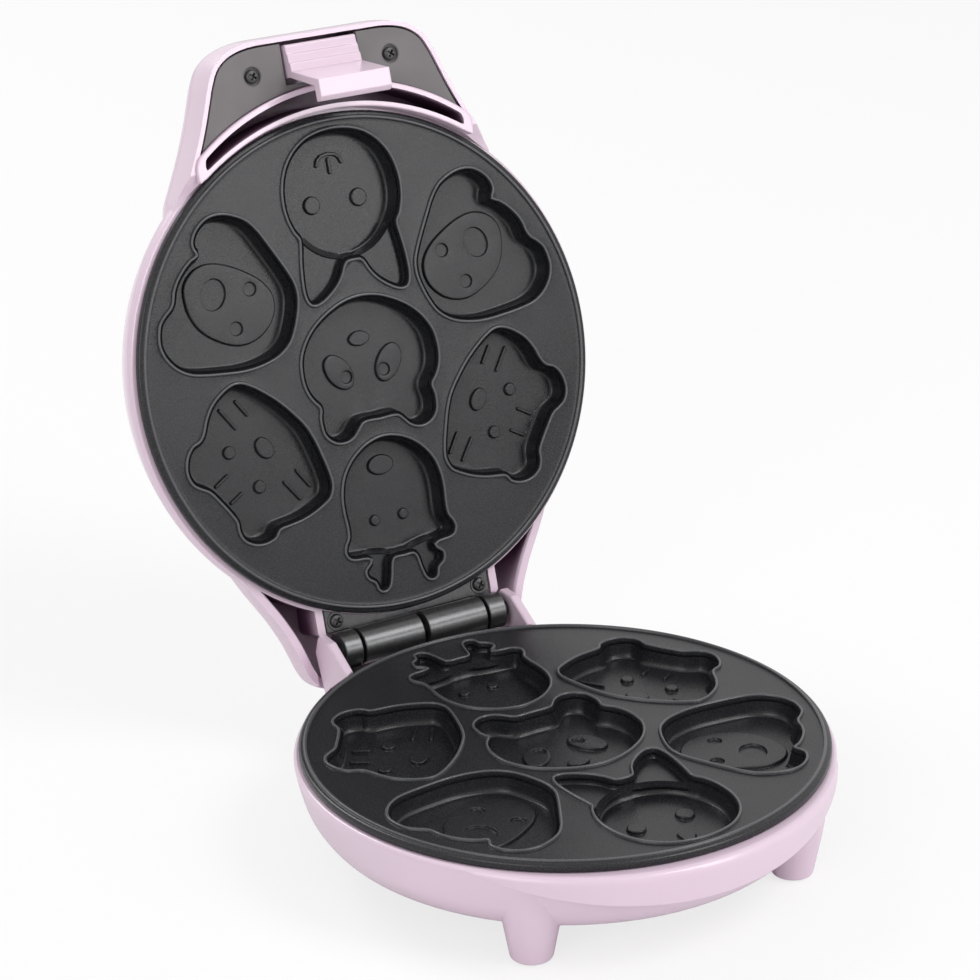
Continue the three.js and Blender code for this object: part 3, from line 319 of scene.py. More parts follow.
# Cook plates: two like castings with seven animal-head moulds, each mouth ringed by a small rim and
# each floor carrying raised features. Cast aluminium with a fine-grained charcoal non-stick coat.
plate_wall = 2.6
face_level = -1.0
rim_steps = ((0.15, 0.15), (0.12, 0.55), (0.2, 0.25), (0.3, 0.05), (0.3, 0.0), (0.2, -0.15), (0.15, -0.45),
             (0.1, -0.8))
ledge_steps = ((0.22, -1.0), (0.22, -1.0))
wall_steps = ((0.25, -1.4), (0.28, -1.3), (0.28, -1.0), (0.35, -0.8), (0.5, -0.45), (0.6, -0.15))
shelf_steps = ((0.06, -0.1), (0.14, -0.5), (0.12, -0.15))


def mirrored(half):
    """The whole outline of a head from its right half, top to bottom."""
    return list(half) + [(-x, y) for x, y in reversed(half) if x > 0]


def flipped(outline):
    return [(-x, y) for x, y in outline]


def oval(x, y, wide, high, turn=0.0, count=28):
    angle = math.radians(turn)
    points = [(wide * math.cos(2 * math.pi * i / count), high * math.sin(2 * math.pi * i / count))
              for i in range(count)]
    return [(x + u * math.cos(angle) - v * math.sin(angle), y + u * math.sin(angle) + v * math.cos(angle))
            for u, v in points]


def stroke(path, half):
    """A line with round ends, as wide as twice its half width."""
    knots = [Vector(point) for point in path]
    left, right = [], []
    for i, knot in enumerate(knots):
        along = (knots[min(i + 1, len(knots) - 1)] - knots[max(i - 1, 0)]).normalized()
        side = Vector((-along.y, along.x)) * half
        left.append(knot + side)
        right.append(knot - side)

    def round_end(near, tip, far, out):
        return [near * 0.85 + far * 0.15 + out * 0.7, tip + out, far * 0.85 + near * 0.15 + out * 0.7]

    cap = round_end(left[-1], knots[-1], right[-1], (knots[-1] - knots[-2]).normalized() * half)
    heel = round_end(right[0], knots[0], left[0], (knots[0] - knots[1]).normalized() * half)
    return [tuple(point) for point in left + cap + right[::-1] + heel][::-1]


raised = ((0.18, 0.3), (0.12, 0.75), (0.2, 0.25), (0.3, 0.08))
sunken = ((0.2, -0.12), (0.15, -0.75), (0.25, -0.25))
fine_raised = ((0.1, 0.3), (0.08, 0.6), (0.15, 0.2), (0.2, 0.05))
mask_steps = ((0.25, 0.35), (0.15, 0.6), (0.25, 0.22), (0.3, 0.06))
stripe_half, muzzle_half = 0.8, 0.85

bear_half = ((0, 23.6), (5, 23.4), (7.8, 23.8), (9.4, 25.4), (12, 28.1), (15.8, 29.9), (19.9, 29.9),
             (23.6, 28.1), (26.2, 24.9), (27, 21), (26.9, 17), (26.2, 14.4), (26.6, 13.1), (28.3, 11.2),
             (30.2, 8), (31.5, 3.8), (31.8, -1), (31, -7), (28.4, -12.6), (24.2, -17.8), (18.6, -22.1),
             (12, -25.5), (6, -27.4), (0, -28))
rabbit_half = ((0, -40.6), (2.4, -40.5), (3.6, -39.4), (5.2, -36.2), (8, -32.4), (12, -29), (16, -26.6),
               (19.8, -25.6), (22.8, -26.8), (24.4, -30.5), (24.6, -36.5), (23.9, -44), (22.8, -51),
               (22.8, -53.2), (24.6, -56), (26.5, -61.5), (27.2, -68), (26.4, -75), (23.9, -81.8),
               (19.6, -87.6), (13.6, -92), (7, -94.2), (0, -94.9))
deer_half = ((0, 79.5), (3.8, 79.4), (4.8, 80.4), (6.1, 86), (7.4, 89.7), (9.4, 91.6), (12, 91.9),
             (14.3, 90.4), (15.3, 87.2), (17.5, 85.7), (18.8, 83.4), (18.6, 80.6), (16.6, 78.7),
             (15.8, 77.7), (18, 77.1), (21.6, 76.8), (24.6, 75.6), (26.2, 72.6), (25.4, 69.0),
             (23.8, 66.4), (23.5, 62), (23.9, 56), (23.5, 49.5), (21.4, 42.6), (17.2, 36.6), (11.4, 32),
             (5.8, 29.6), (0, 28.7))
tiger_outline = (
    (25.0, 44.5), (27.1, 49.5), (30.9, 52.1), (36.4, 54.6), (42.3, 56.3), (48.2, 57.1),
    (51.4, 57.7), (53.3, 60.1), (56.7, 61.6), (60.9, 61.9), (65.1, 60.7), (68.5, 58), (70, 54.2),
    (70.2, 50.3), (71.9, 47), (75.3, 41.9), (79.1, 36.9), (82, 35.2), (85, 33.1), (86.9, 29.7),
    (87.3, 25.5), (85.8, 20.4), (82.9, 16.8), (79.2, 15.1), (77.4, 12.6), (75.3, 7.7), (71.9, 2.7),
    (66.8, -1.4), (61.8, -3.7), (57.5, -3.8), (53.3, -2), (48.3, 1.4), (42.3, 6.5), (37.3, 11.9),
    (32.2, 18.7), (29.2, 25.5), (27.4, 31.5), (25.6, 38.5))
dog_outline = (
    (89.2, -25.3), (88.9, -21.1), (86.9, -16.5), (83.1, -12.2), (78, -9.3), (71.3, -7.8),
    (62.8, -6.8), (56.1, -6.3), (49.3, -6.6), (42.5, -8), (37.5, -10.1), (32.8, -13.9), (29.9, -18.6),
    (27.8, -23.6), (26.5, -27.9), (25.9, -32.1), (26.5, -37.2), (29, -43.1), (31.6, -48.1),
    (34.9, -54.1), (38.3, -60), (42.5, -65), (47.6, -68), (53.5, -69.7), (59.4, -69.3), (64.1, -66.7),
    (67.4, -62.9), (68.6, -59.1), (68, -56.6), (67.4, -55.2), (69.6, -54.3), (73.8, -51), (77.6, -46.6),
    (79.7, -42.6), (80.5, -39.6), (81.8, -37.3), (84.7, -35), (87.6, -31.6))
mask_outline = ((71, -31), (72.2, -37), (71.6, -43.5), (67.2, -48.6), (60.8, -50.6), (53.4, -49.4),
                (45, -45.4), (37.6, -40), (33.8, -33.6), (34.4, -26.4), (39, -20.2), (45.6, -16.8),
                (52.6, -16.4), (60, -19.2), (67.2, -24.6))


def arc(start, end, lift):
    """Points of a shallow arc between two places, bowed to its left."""
    start, end = Vector(start), Vector(end)
    chord = end - start
    count = round(chord.length / 2.4)
    side = Vector((-chord.y, chord.x)).normalized() * lift
    return [tuple(start + chord * t + side * 4 * t * (1 - t)) for t in (i / count for i in range(1, count))]


smile = stroke(
    [(-5.6, -80.0), (-4.9, -82.0), (-3.2, -83.4), (0, -84.0), (3.2, -83.4), (4.9, -82.0), (5.6, -80.0)],
    muzzle_half)
lip_line = stroke([(0, -76.6), (0, -81.9)], muzzle_half)
middle_heads = [
    (mirrored(bear_half), [
        (oval(side * 11.3, 2.0, 8.4, 5.5, -side * 56), raised, [
            (oval(side * 8.6, 4.4, 2.8, 2.8), sunken, [])])
        for side in (1, -1)] + [(oval(0, -9.7, 4.9, 3.2), raised, [])], []),
    (mirrored(rabbit_half), [
        (oval(side * 10.5, -65, 3.8, 3.8), raised, []) for side in (1, -1)
    ] + [(smile, fine_raised, []), (lip_line, fine_raised, [])],
     [((side * 21.2, -53.4), (side * 3.2, -42.4), side * -2.5) for side in (1, -1)]),
    (mirrored(deer_half), [
        (oval(side * 6.5, 63.3, 2.4, 2.4), raised, []) for side in (1, -1)
    ] + [(oval(0, 41.8, 6.0, 4.2), raised, [])],
     [((side * 15.0, 76.4), (side * 4.6, 78.0), side * 0.5) for side in (1, -1)]),
]
tiger_marks = [
    (oval(53.9, 39.5, 2.8, 2.8), raised, []), (oval(64.3, 23.7, 2.8, 2.8), raised, []),
    (oval(49, 24.9, 5.0, 3.7, -57), raised, [])]
tiger_stripes = (
    [(32.2, 43.6), (36.9, 36.4)], [(37.4, 47.8), (43, 39.9)], [(62, 40.4), (67.0, 43.3)],
    [(66.7, 32.3), (72.2, 35.6)], [(59.7, 14.9), (65.2, 6.6)], [(53.8, 10.6), (57.8, 4.6)])
tiger_marks += [(stroke(path, stripe_half), fine_raised, []) for path in tiger_stripes]
dog_marks = [
    (smooth_loop(mask_outline, 1.4), mask_steps, [
        (oval(52.2, -23.4, 3, 3), sunken, []), (oval(43.6, -37.6, 3, 3), sunken, []),
        (oval(59.5, -38.2, 6.6, 5.5, 66), sunken, [])])]


def flipped_marks(marks):
    return [(flipped(outline), steps, flipped_marks(inner)) for outline, steps, inner in marks]


side_heads = [
    (flipped(tiger_outline), flipped_marks(tiger_marks), []),
    (flipped(dog_outline), flipped_marks(dog_marks), [])]


def sink(bm, outline, level, steps, marks, ledges=()):
    """A mould or a raised mark: its outline drawn in, and up or down, step by step. Gives its edge."""
    area = sum(a[0] * b[1] - a[1] * b[0] for a, b in zip(outline, list(outline[1:]) + list(outline[:1])))
    outline = outline if area > 0 else list(outline)[::-1]
    older = set(bm.edges)
    floor = bm.faces.new([bm.verts.new((x, y, level)) for x, y in outline])
    floor.normal_update()

    def step_in(face, moves):
        for thickness, depth in moves:
            bmesh.ops.inset_individual(bm, faces=[face], thickness=thickness, depth=depth,
                                       use_even_offset=True)

    if ledges:
        step_in(floor, steps[:len(rim_steps)] + ledge_steps)
        for start, end, lift in ledges:
            near = [min(floor.verts, key=lambda v: (v.co.xy - Vector(p)).length) for p in (start, end)]
            bend = arc(near[0].co.xy, near[1].co.xy, lift)
            shelf = bmesh.utils.face_split(
                floor, near[0], near[1], coords=[(x, y, near[0].co.z) for x, y in bend])[0]
            if shelf.calc_area() > floor.calc_area():
                shelf, floor = floor, shelf
            step_in(shelf, shelf_steps)
        steps = steps[len(rim_steps) + len(ledge_steps):]
    step_in(floor, steps)
    if marks:
        rim = list(floor.edges)
        level = floor.verts[0].co.z
        bmesh.ops.delete(bm, geom=[floor], context="FACES_ONLY")
        for outline, moves, inner in marks:
            rim += sink(bm, outline, level, moves, inner)
        bmesh.ops.triangle_fill(bm, use_beauty=True, use_dissolve=False, edges=rim, normal=(0, 0, 1))
    return [edge for edge in bm.edges if edge not in older and len(edge.link_faces) == 1]


def only(kind, items):
    """The vertices, edges or faces among what an operator gives back."""
    return [item for item in items if isinstance(item, kind)]


def whole(bm):
    return list(bm.verts) + list(bm.edges) + list(bm.faces)


def plate_rim(join_radius, steps):
    """The plate's outer ring: the bead round its face, its edge, and the skirt below."""
    rim = bmesh.new()
    profile = [
        (join_radius, face_level), (96.5, -1), (96.75, -0.8), (96.85, -0.25), (97.1, -0.03),
        (97.6, 0), (97.9, -0.15), (98.05, -0.6), (98.3, -0.8), (98.9, -0.85), (99.5, -1.05),
        (99.9, -1.5), (100, -2.1), (100, -3.4), (99.7, -3.9), (97.8, -3.9), (97.8, -7.9),
        (95.8, -7.9), (95.8, -3.7), (join_radius, face_level - plate_wall)]
    ring = [rim.verts.new((radius, 0, height)) for radius, height in profile]
    wires = [rim.edges.new((a, b)) for a, b in zip(ring, ring[1:])]
    bmesh.ops.spin(rim, geom=ring + wires, cent=(0, 0, 0), axis=(0, 0, 1), angle=2 * math.pi, steps=steps,
                   use_merge=True, use_duplicate=False)
    bmesh.ops.recalc_face_normals(rim, faces=rim.faces)
    mesh = bpy.data.meshes.new("rim")
    rim.to_mesh(mesh)
    rim.free()
    return mesh


def cook_plate():
    """The casting, face up: seven moulds in a thin sheet, its underside, its rim, and three posts."""
    plate_rings, join_radius, weld = 192, 95.2, 0.01
    post_circle, post_middle = 86, -10.6
    highlight_from, highlight_over = -0.5, 0.35
    mould_steps = rim_steps + ledge_steps + wall_steps
    bm = bmesh.new()
    for outline, marks, ledges in side_heads:
        sink(bm, smooth_loop(outline), face_level, mould_steps, marks, ledges)
    twins = bmesh.ops.duplicate(bm, geom=whole(bm))["geom"]
    bmesh.ops.scale(bm, vec=(-1, 1, 1), verts=only(bmesh.types.BMVert, twins))
    bmesh.ops.reverse_faces(bm, faces=only(bmesh.types.BMFace, twins))
    for outline, marks, ledges in middle_heads:
        sink(bm, smooth_loop(outline), face_level, mould_steps, marks, ledges)
    outer = bmesh.ops.create_circle(bm, segments=plate_rings, radius=join_radius)["verts"]
    bmesh.ops.translate(bm, verts=outer, vec=(0, 0, face_level))
    edges = [edge for edge in bm.edges if len(edge.link_faces) < 2]
    bmesh.ops.triangle_fill(bm, use_beauty=True, use_dissolve=False, edges=edges, normal=(0, 0, 1))
    bm.normal_update()
    underside = bmesh.ops.duplicate(bm, geom=whole(bm))["geom"]
    for vert in only(bmesh.types.BMVert, underside):
        vert.co -= vert.normal * plate_wall
    bmesh.ops.reverse_faces(bm, faces=only(bmesh.types.BMFace, underside))
    rim = plate_rim(join_radius, plate_rings)
    bm.from_mesh(rim)
    bpy.data.meshes.remove(rim)
    bmesh.ops.remove_doubles(bm, verts=bm.verts, dist=weld)
    for angle in (0, 120, 240):
        x, y = (post_circle * turn(math.radians(angle)) for turn in (math.cos, math.sin))
        bmesh.ops.create_cone(bm, cap_ends=True, segments=32, radius1=4.3, radius2=4.5, depth=14.4,
                              matrix=Matrix.Translation((x, y, post_middle)))
    # Painted highlight: a mask that rises to one over the top 0.35 mm of the mould rims' and the bead's
    # crests, read by the coat's colour.
    crest = bm.verts.layers.float.new("crest")
    for vert in bm.verts:
        vert[crest] = min(1.0, max(0.0, (vert.co.z - highlight_from) / highlight_over))
    return bm


non_stick = Finish("non_stick", Specular_IOR_Level=0.35)
# Painted highlight: the coat turns a lighter grey, and smoother, along the crests of the mould rims and the
# plate's bead.
coat_dark, coat_crest_highlight = (0.005, 0.0052, 0.0066), (0.085, 0.085, 0.092)
grain = non_stick.noise(2600, 3)
cloud = non_stick.noise(18, 3)
fleck = non_stick.node("ShaderNodeValToRGB", {"stops": ((0.5, 0), (0.72, 1))}, {"Fac": grain})
crest_highlight = non_stick.node("ShaderNodeAttribute", {"attribute_name": "crest"}, output="Fac")
non_stick.feed(
    Base_Color=non_stick.mixed(fleck * 0.35 + cloud * 0.12 + crest_highlight * 0.9, coat_dark, coat_crest_highlight),
    Roughness=0.22 + grain * 0.12 - crest_highlight * 0.08)
non_stick.bump(grain, 0.35, 0.00012)
crest_gap = 1.4
turned_over = Matrix.Translation((0, 0, crest_gap)) @ Matrix.Rotation(math.pi, 4, "Y")
for name, place, body, node in (
    ("cook_plate_lower", base_place, "base", "base_cook_plate"),
    ("cook_plate_upper", lid_place @ turned_over, "lid", "lid_cook_plate"),
):
    piece(name, cook_plate(), place, body, "non_stick", non_stick, node, smooth=50)

# Base shell: the lower housing, one moulding of gloss polypropylene. A round bowl with a crescent nose
# in front, a shelf and two cheeks that carry the hinge behind, and four tapered legs.
base_rim, base_floor = -4.2, -31.0
hinge_y, hinge_z = 109.4, -0.2
shelf_y, shelf_z, cheek_in, cheek_out = 103.0, -8.0, 40.0, 44.0
leaf_half, leaf_arc, leaf_gap = 38.0, 100.6, 0.3
leg_places = [(57, -68), (-57, -68), (36, 95), (-36, 95)]
leg_names = [f"foot_pad_{end}_{side}" for end in ("front", "rear") for side in ("right", "left")]
bowl_line = smooth_path([
    (86, -31), (90, -30.4), (93, -28.3), (95.8, -24.8), (98.2, -20.5),
    (99.9, -15.3), (101.2, -10), (101.9, -6.4), (101.8, -5.2), (101.3, -4.5), (100.7, base_rim)])
bowl_room = [
    (0, -25.9), (85, -25.9), (90.5, -24.6), (95.2, -18), (97.2, -12), (98.4, -7.2),
    (98.6, -5), (98.9, base_rim), (100.3, base_rim), (100.3, 12), (0, 12)]


def soften(bm, width, steps, chosen):
    """Rounds the edges of a shape that the given test picks."""
    bm.normal_update()
    edges = [edge for edge in bm.edges if edge.is_manifold and chosen(edge)]
    bmesh.ops.bevel(bm, geom=edges, offset=width, segments=steps, affect="EDGES", profile=0.5, material=-1,
                    clamp_overlap=True)
    return bm


def crisp(edge):
    return edge.calc_face_angle() > 0.8


def cheek(x0, x1, *circles, rounding=1.1):
    """A web between two planes whose outline runs round circles of (y, z, radius)."""
    bm = bmesh.new()
    for x in (x0, x1):
        for y, z, radius in circles:
            bmesh.ops.create_circle(bm, segments=48, radius=radius, matrix=(
                Matrix.Translation((x, y, z)) @ Matrix.Rotation(math.pi / 2, 4, "Y")))
    hull = bmesh.ops.convex_hull(bm, input=bm.verts)
    spare = {item for key in ("geom_interior", "geom_unused") for item in hull[key]}
    bmesh.ops.delete(bm, geom=only(bmesh.types.BMVert, spare), context="VERTS")
    bmesh.ops.delete(bm, geom=[edge for edge in bm.edges if not edge.link_faces], context="EDGES")
    bmesh.ops.dissolve_limit(bm, angle_limit=0.01, verts=bm.verts, edges=bm.edges)
    bmesh.ops.recalc_face_normals(bm, faces=bm.faces)
    return soften(bm, rounding, 3, crisp)


def nose():
    """The crescent in front of the bowl: part of a wider cylinder, sliced off by a rising plane."""
    radius, offset, drop, slope = 97.5, 8.3, 13.2, math.radians(15.6)
    crown = smooth_path([(radius, -8.2), (97.3, -6.1), (96.5, -4.7), (94.9, base_rim)])
    crown_foot = -6.5
    bm = turned([(0, -24), (radius, -24), *crown, (0, base_rim)], 192, y=-offset)
    sliced = bmesh.ops.bisect_plane(
        bm, geom=whole(bm), dist=0.0001, clear_inner=True,
        plane_co=(0, -radius - offset, base_rim - drop), plane_no=(0, -math.sin(slope), math.cos(slope)))
    bmesh.ops.edgeloop_fill(bm, edges=only(bmesh.types.BMEdge, sliced["geom_cut"]))
    return soften(bm, 1.7, 4, lambda edge: crisp(edge) and all(v.co.z < crown_foot for v in edge.verts))


def hinge_cheek(side):
    """One of the two cheeks behind the bowl, which hold the ends of the hinge's pin."""
    return cheek(
        *sorted((side * cheek_in, side * cheek_out)), (105.4, 4.6, 1.9), (112.4, 4.7, 1.9),
        (114.4, -1.5, 1.9), (109.4, -7.5, 1.6), (94.8, -7, 7.0), (98.3, -24, 7.0))


def leg(x, y):
    """A leg that flares up into the bowl, with a rounded end."""
    end = smooth_path([(6.9, -43.9), (7.7, -43.4), (8.1, -42.2)])
    return turned([(0, -44), (6.4, -44), *end, (10.7, -28), (11.6, -22), (12, -12), (0, -12)], 64, x, y)


def cord_bore():
    """The hole in the back of the bowl that the grommet sits in."""
    bm = disc(4.5, -14, 14, steps=48)
    level = Matrix.Translation((0, 97, -18)) @ Matrix.Rotation(math.pi / 2, 4, "X")
    bmesh.ops.transform(bm, verts=bm.verts, matrix=level)
    return bm


base_body = combine(
    "UNION",
    turned([(0, base_floor), *bowl_line, (0, base_rim)], 192),
    nose(),
    soften(block((-cheek_out, 90, -29), (cheek_out, shelf_y, shelf_z)), 1.2, 3, crisp),
    *[hinge_cheek(side) for side in (1, -1)],
    *[leg(x, y) for x, y in leg_places])
base_body = combine(
    "DIFFERENCE",
    base_body,
    turned(bowl_room, 192),
    disc(76.3, -34, -28.3), disc(73, -34, -24),
    combine("DIFFERENCE", block((-leaf_half - leaf_gap, 0, shelf_z), (leaf_half + leaf_gap, hinge_y, 12)),
            disc(leaf_arc - leaf_gap, -12, 14, steps=192)),
    bar(3.3, -cheek_out + 2, cheek_out - 2, hinge_y, hinge_z),
    combine("UNION", *[disc(6.3, -48, -41.7, x, y, 48) for x, y in leg_places]),
    cord_bore())

pink = Finish("pink_plastic", Coat_Roughness=0.06)
# Painted shade: an ambient-occlusion mask darkens the pink towards a deep plum in the housings' recesses,
# pockets and crevices, and roughens it and thins its coat there.
painted_shade_reach, painted_nook_shade = 0.02, (0.07, 0.018, 0.055, 1)
wash = pink.noise(9, 2)
ripple = pink.noise(320, 2)
painted_shade_ao = pink.node("ShaderNodeAmbientOcclusion", {"samples": 12, "only_local": True},
                 {"Distance": painted_shade_reach}, output="AO")
shade = pink.node("ShaderNodeValToRGB", {"stops": ((0.18, 0), (0.6, 1))}, {"Fac": painted_shade_ao})
skin = pink.mixed(wash, (0.70, 0.545, 0.655), (0.745, 0.59, 0.70))
# Painted shade: the skin is mixed to the dark plum where the occlusion mask is low.
skin_with_painted_shade = pink.node("ShaderNodeMix", {"data_type": "RGBA"}, {0: shade, 6: painted_nook_shade, 7: skin}, output=2)
pink.feed(Base_Color=skin_with_painted_shade, Roughness=0.3 + wash * 0.08 + 0.25 * (1 - shade), Coat_Weight=shade * 0.5)
pink.bump(ripple, 0.04, 0.0002)
piece("housing_lower", base_body, base_place, "base", "pink_plastic", pink, "base_shell")
dress(pink, "base_bottom_cover")

# Foot pads: four soft buttons of pale silicone, pushed up into the ends of the legs. They stand half a
# millimetre below the legs, so the machine rests on them alone.
rubber = Finish("pale_rubber")
dust = rubber.noise(400, 2)
rubber.feed(Base_Color=rubber.mixed(dust, (0.6, 0.56, 0.53), (0.7, 0.66, 0.63)), Roughness=0.6 + dust * 0.2)
pad_corner = smooth_path([(5.3, -44.45), (5.8, -44.15), (6, -43.5)])
for (x, y), name in zip(leg_places, leg_names):
    pad = turned([(0, -44.5), (4.8, -44.5), *pad_corner, (6, -42), (0, -42)], 64, x, y)
    piece(name.replace("foot_pad", "pad"), pad, base_place, "base", "pale_rubber", rubber, name)

# Lid shell: the upper housing, one moulding in the same pink. A round drum rises out of a shallow wing,
# whose front is the handle and whose tail closes over the hinge. The wing is open underneath.
lid_rim, drum_top, wing_top = 5.6, 35.2, 24.3
front_edge, rear_edge = -133.0, 127.4
hidden_radius = 98
hidden_arc = [(hidden_radius * math.cos(math.radians(a)), hidden_radius * math.sin(math.radians(a)))
              for a in range(-42, 43, 7)]
right_side = smooth_path([
    (0, front_edge), (18, front_edge), (31, -132.7), (40.2, -130.4),
    (46.8, -125.8), (50.6, -119.4), (53.1, -113), (55.9, -105.5), (59.2, -97.6), (63.1, -89.4),
    (67.4, -81), (70.7, -74.5), *hidden_arc, (70.4, 72.4), (66.6, 79.8), (62.7, 86.4), (59, 92.6),
    (55.8, 98.8), (53, 105.2), (50.8, 111.6), (48.9, 117), (46.2, 121.4), (41.4, 124.3), (34, 125.9),
    (18, 127), (0, rear_edge)], 4)
plan = right_side + [(-x, y) for x, y in right_side[-2:0:-1]]
wing_line = [(-2.6, -1.5), (-1.7, -1.45), (-1.15, -1.1), (-0.95, -0.5)] + smooth_path([
    (-0.8, 0.8), (-0.3, 4.3), (0.2, 11.7), (-0.5, 17.2), (-2.4, 21.3), (-4.8, 23.4), (-7.8, wing_top)], 4)
drum_line = smooth_path([
    (101.5, lid_rim), (102.3, 7), (102.4, 9), (101.9, 12), (100.2, 17),
    (98.4, 22), (95.4, 26.8), (91.4, 30.6), (86, 33.2), (74, 34.5), (50, 35.1), (30, drum_top)])
ridge_y, ridge_in, ridge_out, wall_in, wall_out = -14.8, 94.9, 97.1, 101.3, 103.3
panel_rear = -92.6
clear_x, clear_y = 140, 160


def loft(line, shift=0.0):
    """A closed skin through the plan at each (growth, height) of a line."""
    bm = bmesh.new()
    knots = [Vector(point) for point in plan]
    outward = []
    for i, knot in enumerate(knots):
        along = (knots[(i + 1) % len(knots)] - knots[i - 1]).normalized()
        outward.append(Vector((along.y, -along.x)))
    rings = []
    for growth, height in line:
        verts = [bm.verts.new((*(knot + out * (growth + shift)), height))
                 for knot, out in zip(knots, outward)]
        rings.append([bm.edges.new(pair) for pair in zip(verts, verts[1:] + verts[:1])])
    for lower, upper in zip(rings, rings[1:]):
        bmesh.ops.bridge_loops(bm, edges=lower + upper)
    for ring in (rings[0], rings[-1]):
        bmesh.ops.edgeloop_fill(bm, edges=ring)
    bmesh.ops.recalc_face_normals(bm, faces=bm.faces)
    return bm


def extruded(points, along):
    """A flat outline drawn out along a vector, as a closed solid."""
    bm = bmesh.new()
    near = bm.faces.new([bm.verts.new(point) for point in points])
    far = bmesh.ops.extrude_face_region(bm, geom=[near])["geom"]
    bmesh.ops.translate(bm, vec=along, verts=only(bmesh.types.BMVert, far))
    bmesh.ops.recalc_face_normals(bm, faces=bm.faces)
    return bm


def crescent(outer, inner, half, low, high, corner, crest=0.0):
    """A bent bar between the ridge's circle and the drum's, with round ends and a rounded lower rim."""
    def front(x):
        return ridge_y - math.sqrt(outer * outer - x * x)

    def back(x):
        return -math.sqrt(inner * inner - x * x)

    steps = 40
    reach = half - corner
    run = [(reach * (2 * i / steps - 1)) for i in range(steps + 1)]
    near, far = half - 0.35 * corner, half - 0.6 * corner
    tip = smooth_path([
        (reach, front(reach)), (near, front(near) + 0.12 * corner), (half, front(half) + 0.8 * corner),
        (half, back(half) - 0.75 * corner), (half - 0.2 * corner, back(half) - 0.35 * corner),
        (far, back(far) - 0.1 * corner), (reach, back(reach))], 4)
    line = [(x, front(x)) for x in run[:-1]] + tip
    line += [(x, back(x)) for x in run[-2:0:-1]] + [(-x, y) for x, y in tip[:0:-1]]
    bm = extruded([(x, y, low) for x, y in line], (0, 0, high - low))
    if crest:
        soften(bm, crest, 4, lambda edge: crisp(edge) and all(v.co.z < low + 0.01 for v in edge.verts))
    return bm


def ramp():
    """Takes the wing's lower rim up to the drum's, in an easy curve behind the pocket."""
    line = smooth_path([
        (-94, -1.6), (-90, -1.35), (-86, -0.3), (-82, 2), (-78, 4.4), (-74, 5.5), (-70, lid_rim)])
    outline = [*line, (clear_y, lid_rim), (clear_y, -9), (-94, -9)]
    return extruded([(-clear_x, y, z) for y, z in outline], (2 * clear_x, 0, 0))


def slab(low, high, rounding):
    return soften(block(low, high), rounding, 3, crisp)


leaf_screws = [(33, 98.3), (-33, 98.3)]
handle_screws = [(30.7, -118.8), (-30.7, -118.8)]
room_line = [(0.9, -6), (0.9, -2.4), (-0.1, -1.2), (-0.6, -0.4), (-0.75, 0.8), (-0.3, 4.3), (0.2, 11.7),
             (-0.5, 17.2), (-2.8, 20.6), (-5.8, 22.6)]
rear_line = [(1.6, -6), (1.6, 4.4), (0.7, 5.7), (0.15, 6.4), (0, 7.4), (0.2, 11.7), (-0.5, 17.2),
             (-2.8, 20.6), (-3.8, 22.4)]
handle_room = combine(
    "DIFFERENCE", loft(room_line, -2),
    combine("UNION", disc(ridge_out, -8, 40, 0, ridge_y, 192),
            block((-clear_x, panel_rear, -8), (clear_x, clear_y, 40))))
tail_room = combine(
    "DIFFERENCE", loft(rear_line, -4), disc(101.4, -8, 40, steps=192),
    block((-clear_x, -clear_y, -8), (clear_x, 66.3, 40)),
    slab((-41.6, 60, -7.6), (41.6, shelf_y + 0.4, 40), 1.6))
lid_body = combine(
    "DIFFERENCE",
    combine("UNION", loft(wing_line), turned([(0, lid_rim), *drum_line, (0, drum_top)], 192)),
    block((-clear_x, -clear_y, -8), (clear_x, -84.5, 0)),
    ramp(),
    disc(wall_in, -8, lid_rim, steps=192),
    handle_room,
    tail_room,
    turned([(0, -8), (98.6, -8), (98.6, 10), (96.5, 20), (92, 27), (84, 31), (60, 32.6), (0, 32.6)], 192),
    block((-45, shelf_y + 0.3, -8), (45, 140, lid_rim + 3.4)))
lid_body = combine(
    "UNION", lid_body, crescent(ridge_out, wall_in, 61.4, -1.5, 12, 3.4, 1.0),
    *[disc(4.5, 3, 22.8, x, y, 48) for x, y in handle_screws],
    *[block((side * 18.2 - 1.2, -127.9, 3), (side * 18.2 + 1.2, -120, 22.8)) for side in (1, -1)])
lid_body = combine(
    "DIFFERENCE", lid_body, crescent(ridge_in, wall_out, 57.6, -6, 18, 1.7),
    combine("DIFFERENCE",
            block((-leaf_half - leaf_gap, 0, -8), (leaf_half + leaf_gap, shelf_y + leaf_gap, 7.6)),
            disc(leaf_arc - leaf_gap, -10, 10, steps=192)),
    *[disc(3.3, 20, 40, x, -72, 48) for x in (11, -11)])
piece("housing_upper", lid_body, lid_place, "lid", "pink_plastic", pink, "lid_shell")

# Handle panel: closes the handle from below. A flat moulding in matt grey plastic, held by two sunk
# screws, with a window for the latch and a curved rear edge that follows the ridge.
grey = Finish("grey_plastic")
spark = grey.noise(1800, 2)
haze = grey.noise(30, 3)
grey.feed(Base_Color=grey.mixed(haze, (0.10, 0.09, 0.094), (0.2, 0.186, 0.19)),
          Roughness=0.48 + spark * 0.15)
grey.bump(spark, 0.25, 0.0001)
screw_well = [(0, -3), (4.0, -3), (4.0, 0.3), (3.6, 0.7), (3.6, 1.6), (1.75, 1.6), (1.75, 5), (0, 5)]
panel = combine(
    "DIFFERENCE", loft([(-0.5, 0.3), (-0.2, 0.42), (0, 0.8), (0, 2.3)], -3.4),
    disc(ridge_out + 0.4, -3, 5, 0, ridge_y, 192),
    block((-clear_x, panel_rear - 0.3, -3), (clear_x, clear_y, 5)),
    block((-17, -131, -3), (17, -113.2, 5)),
    *[turned(screw_well, 64, x, y) for x, y in handle_screws])
piece("grip_panel", panel, lid_place, "lid", "grey_plastic", grey, "handle_panel")


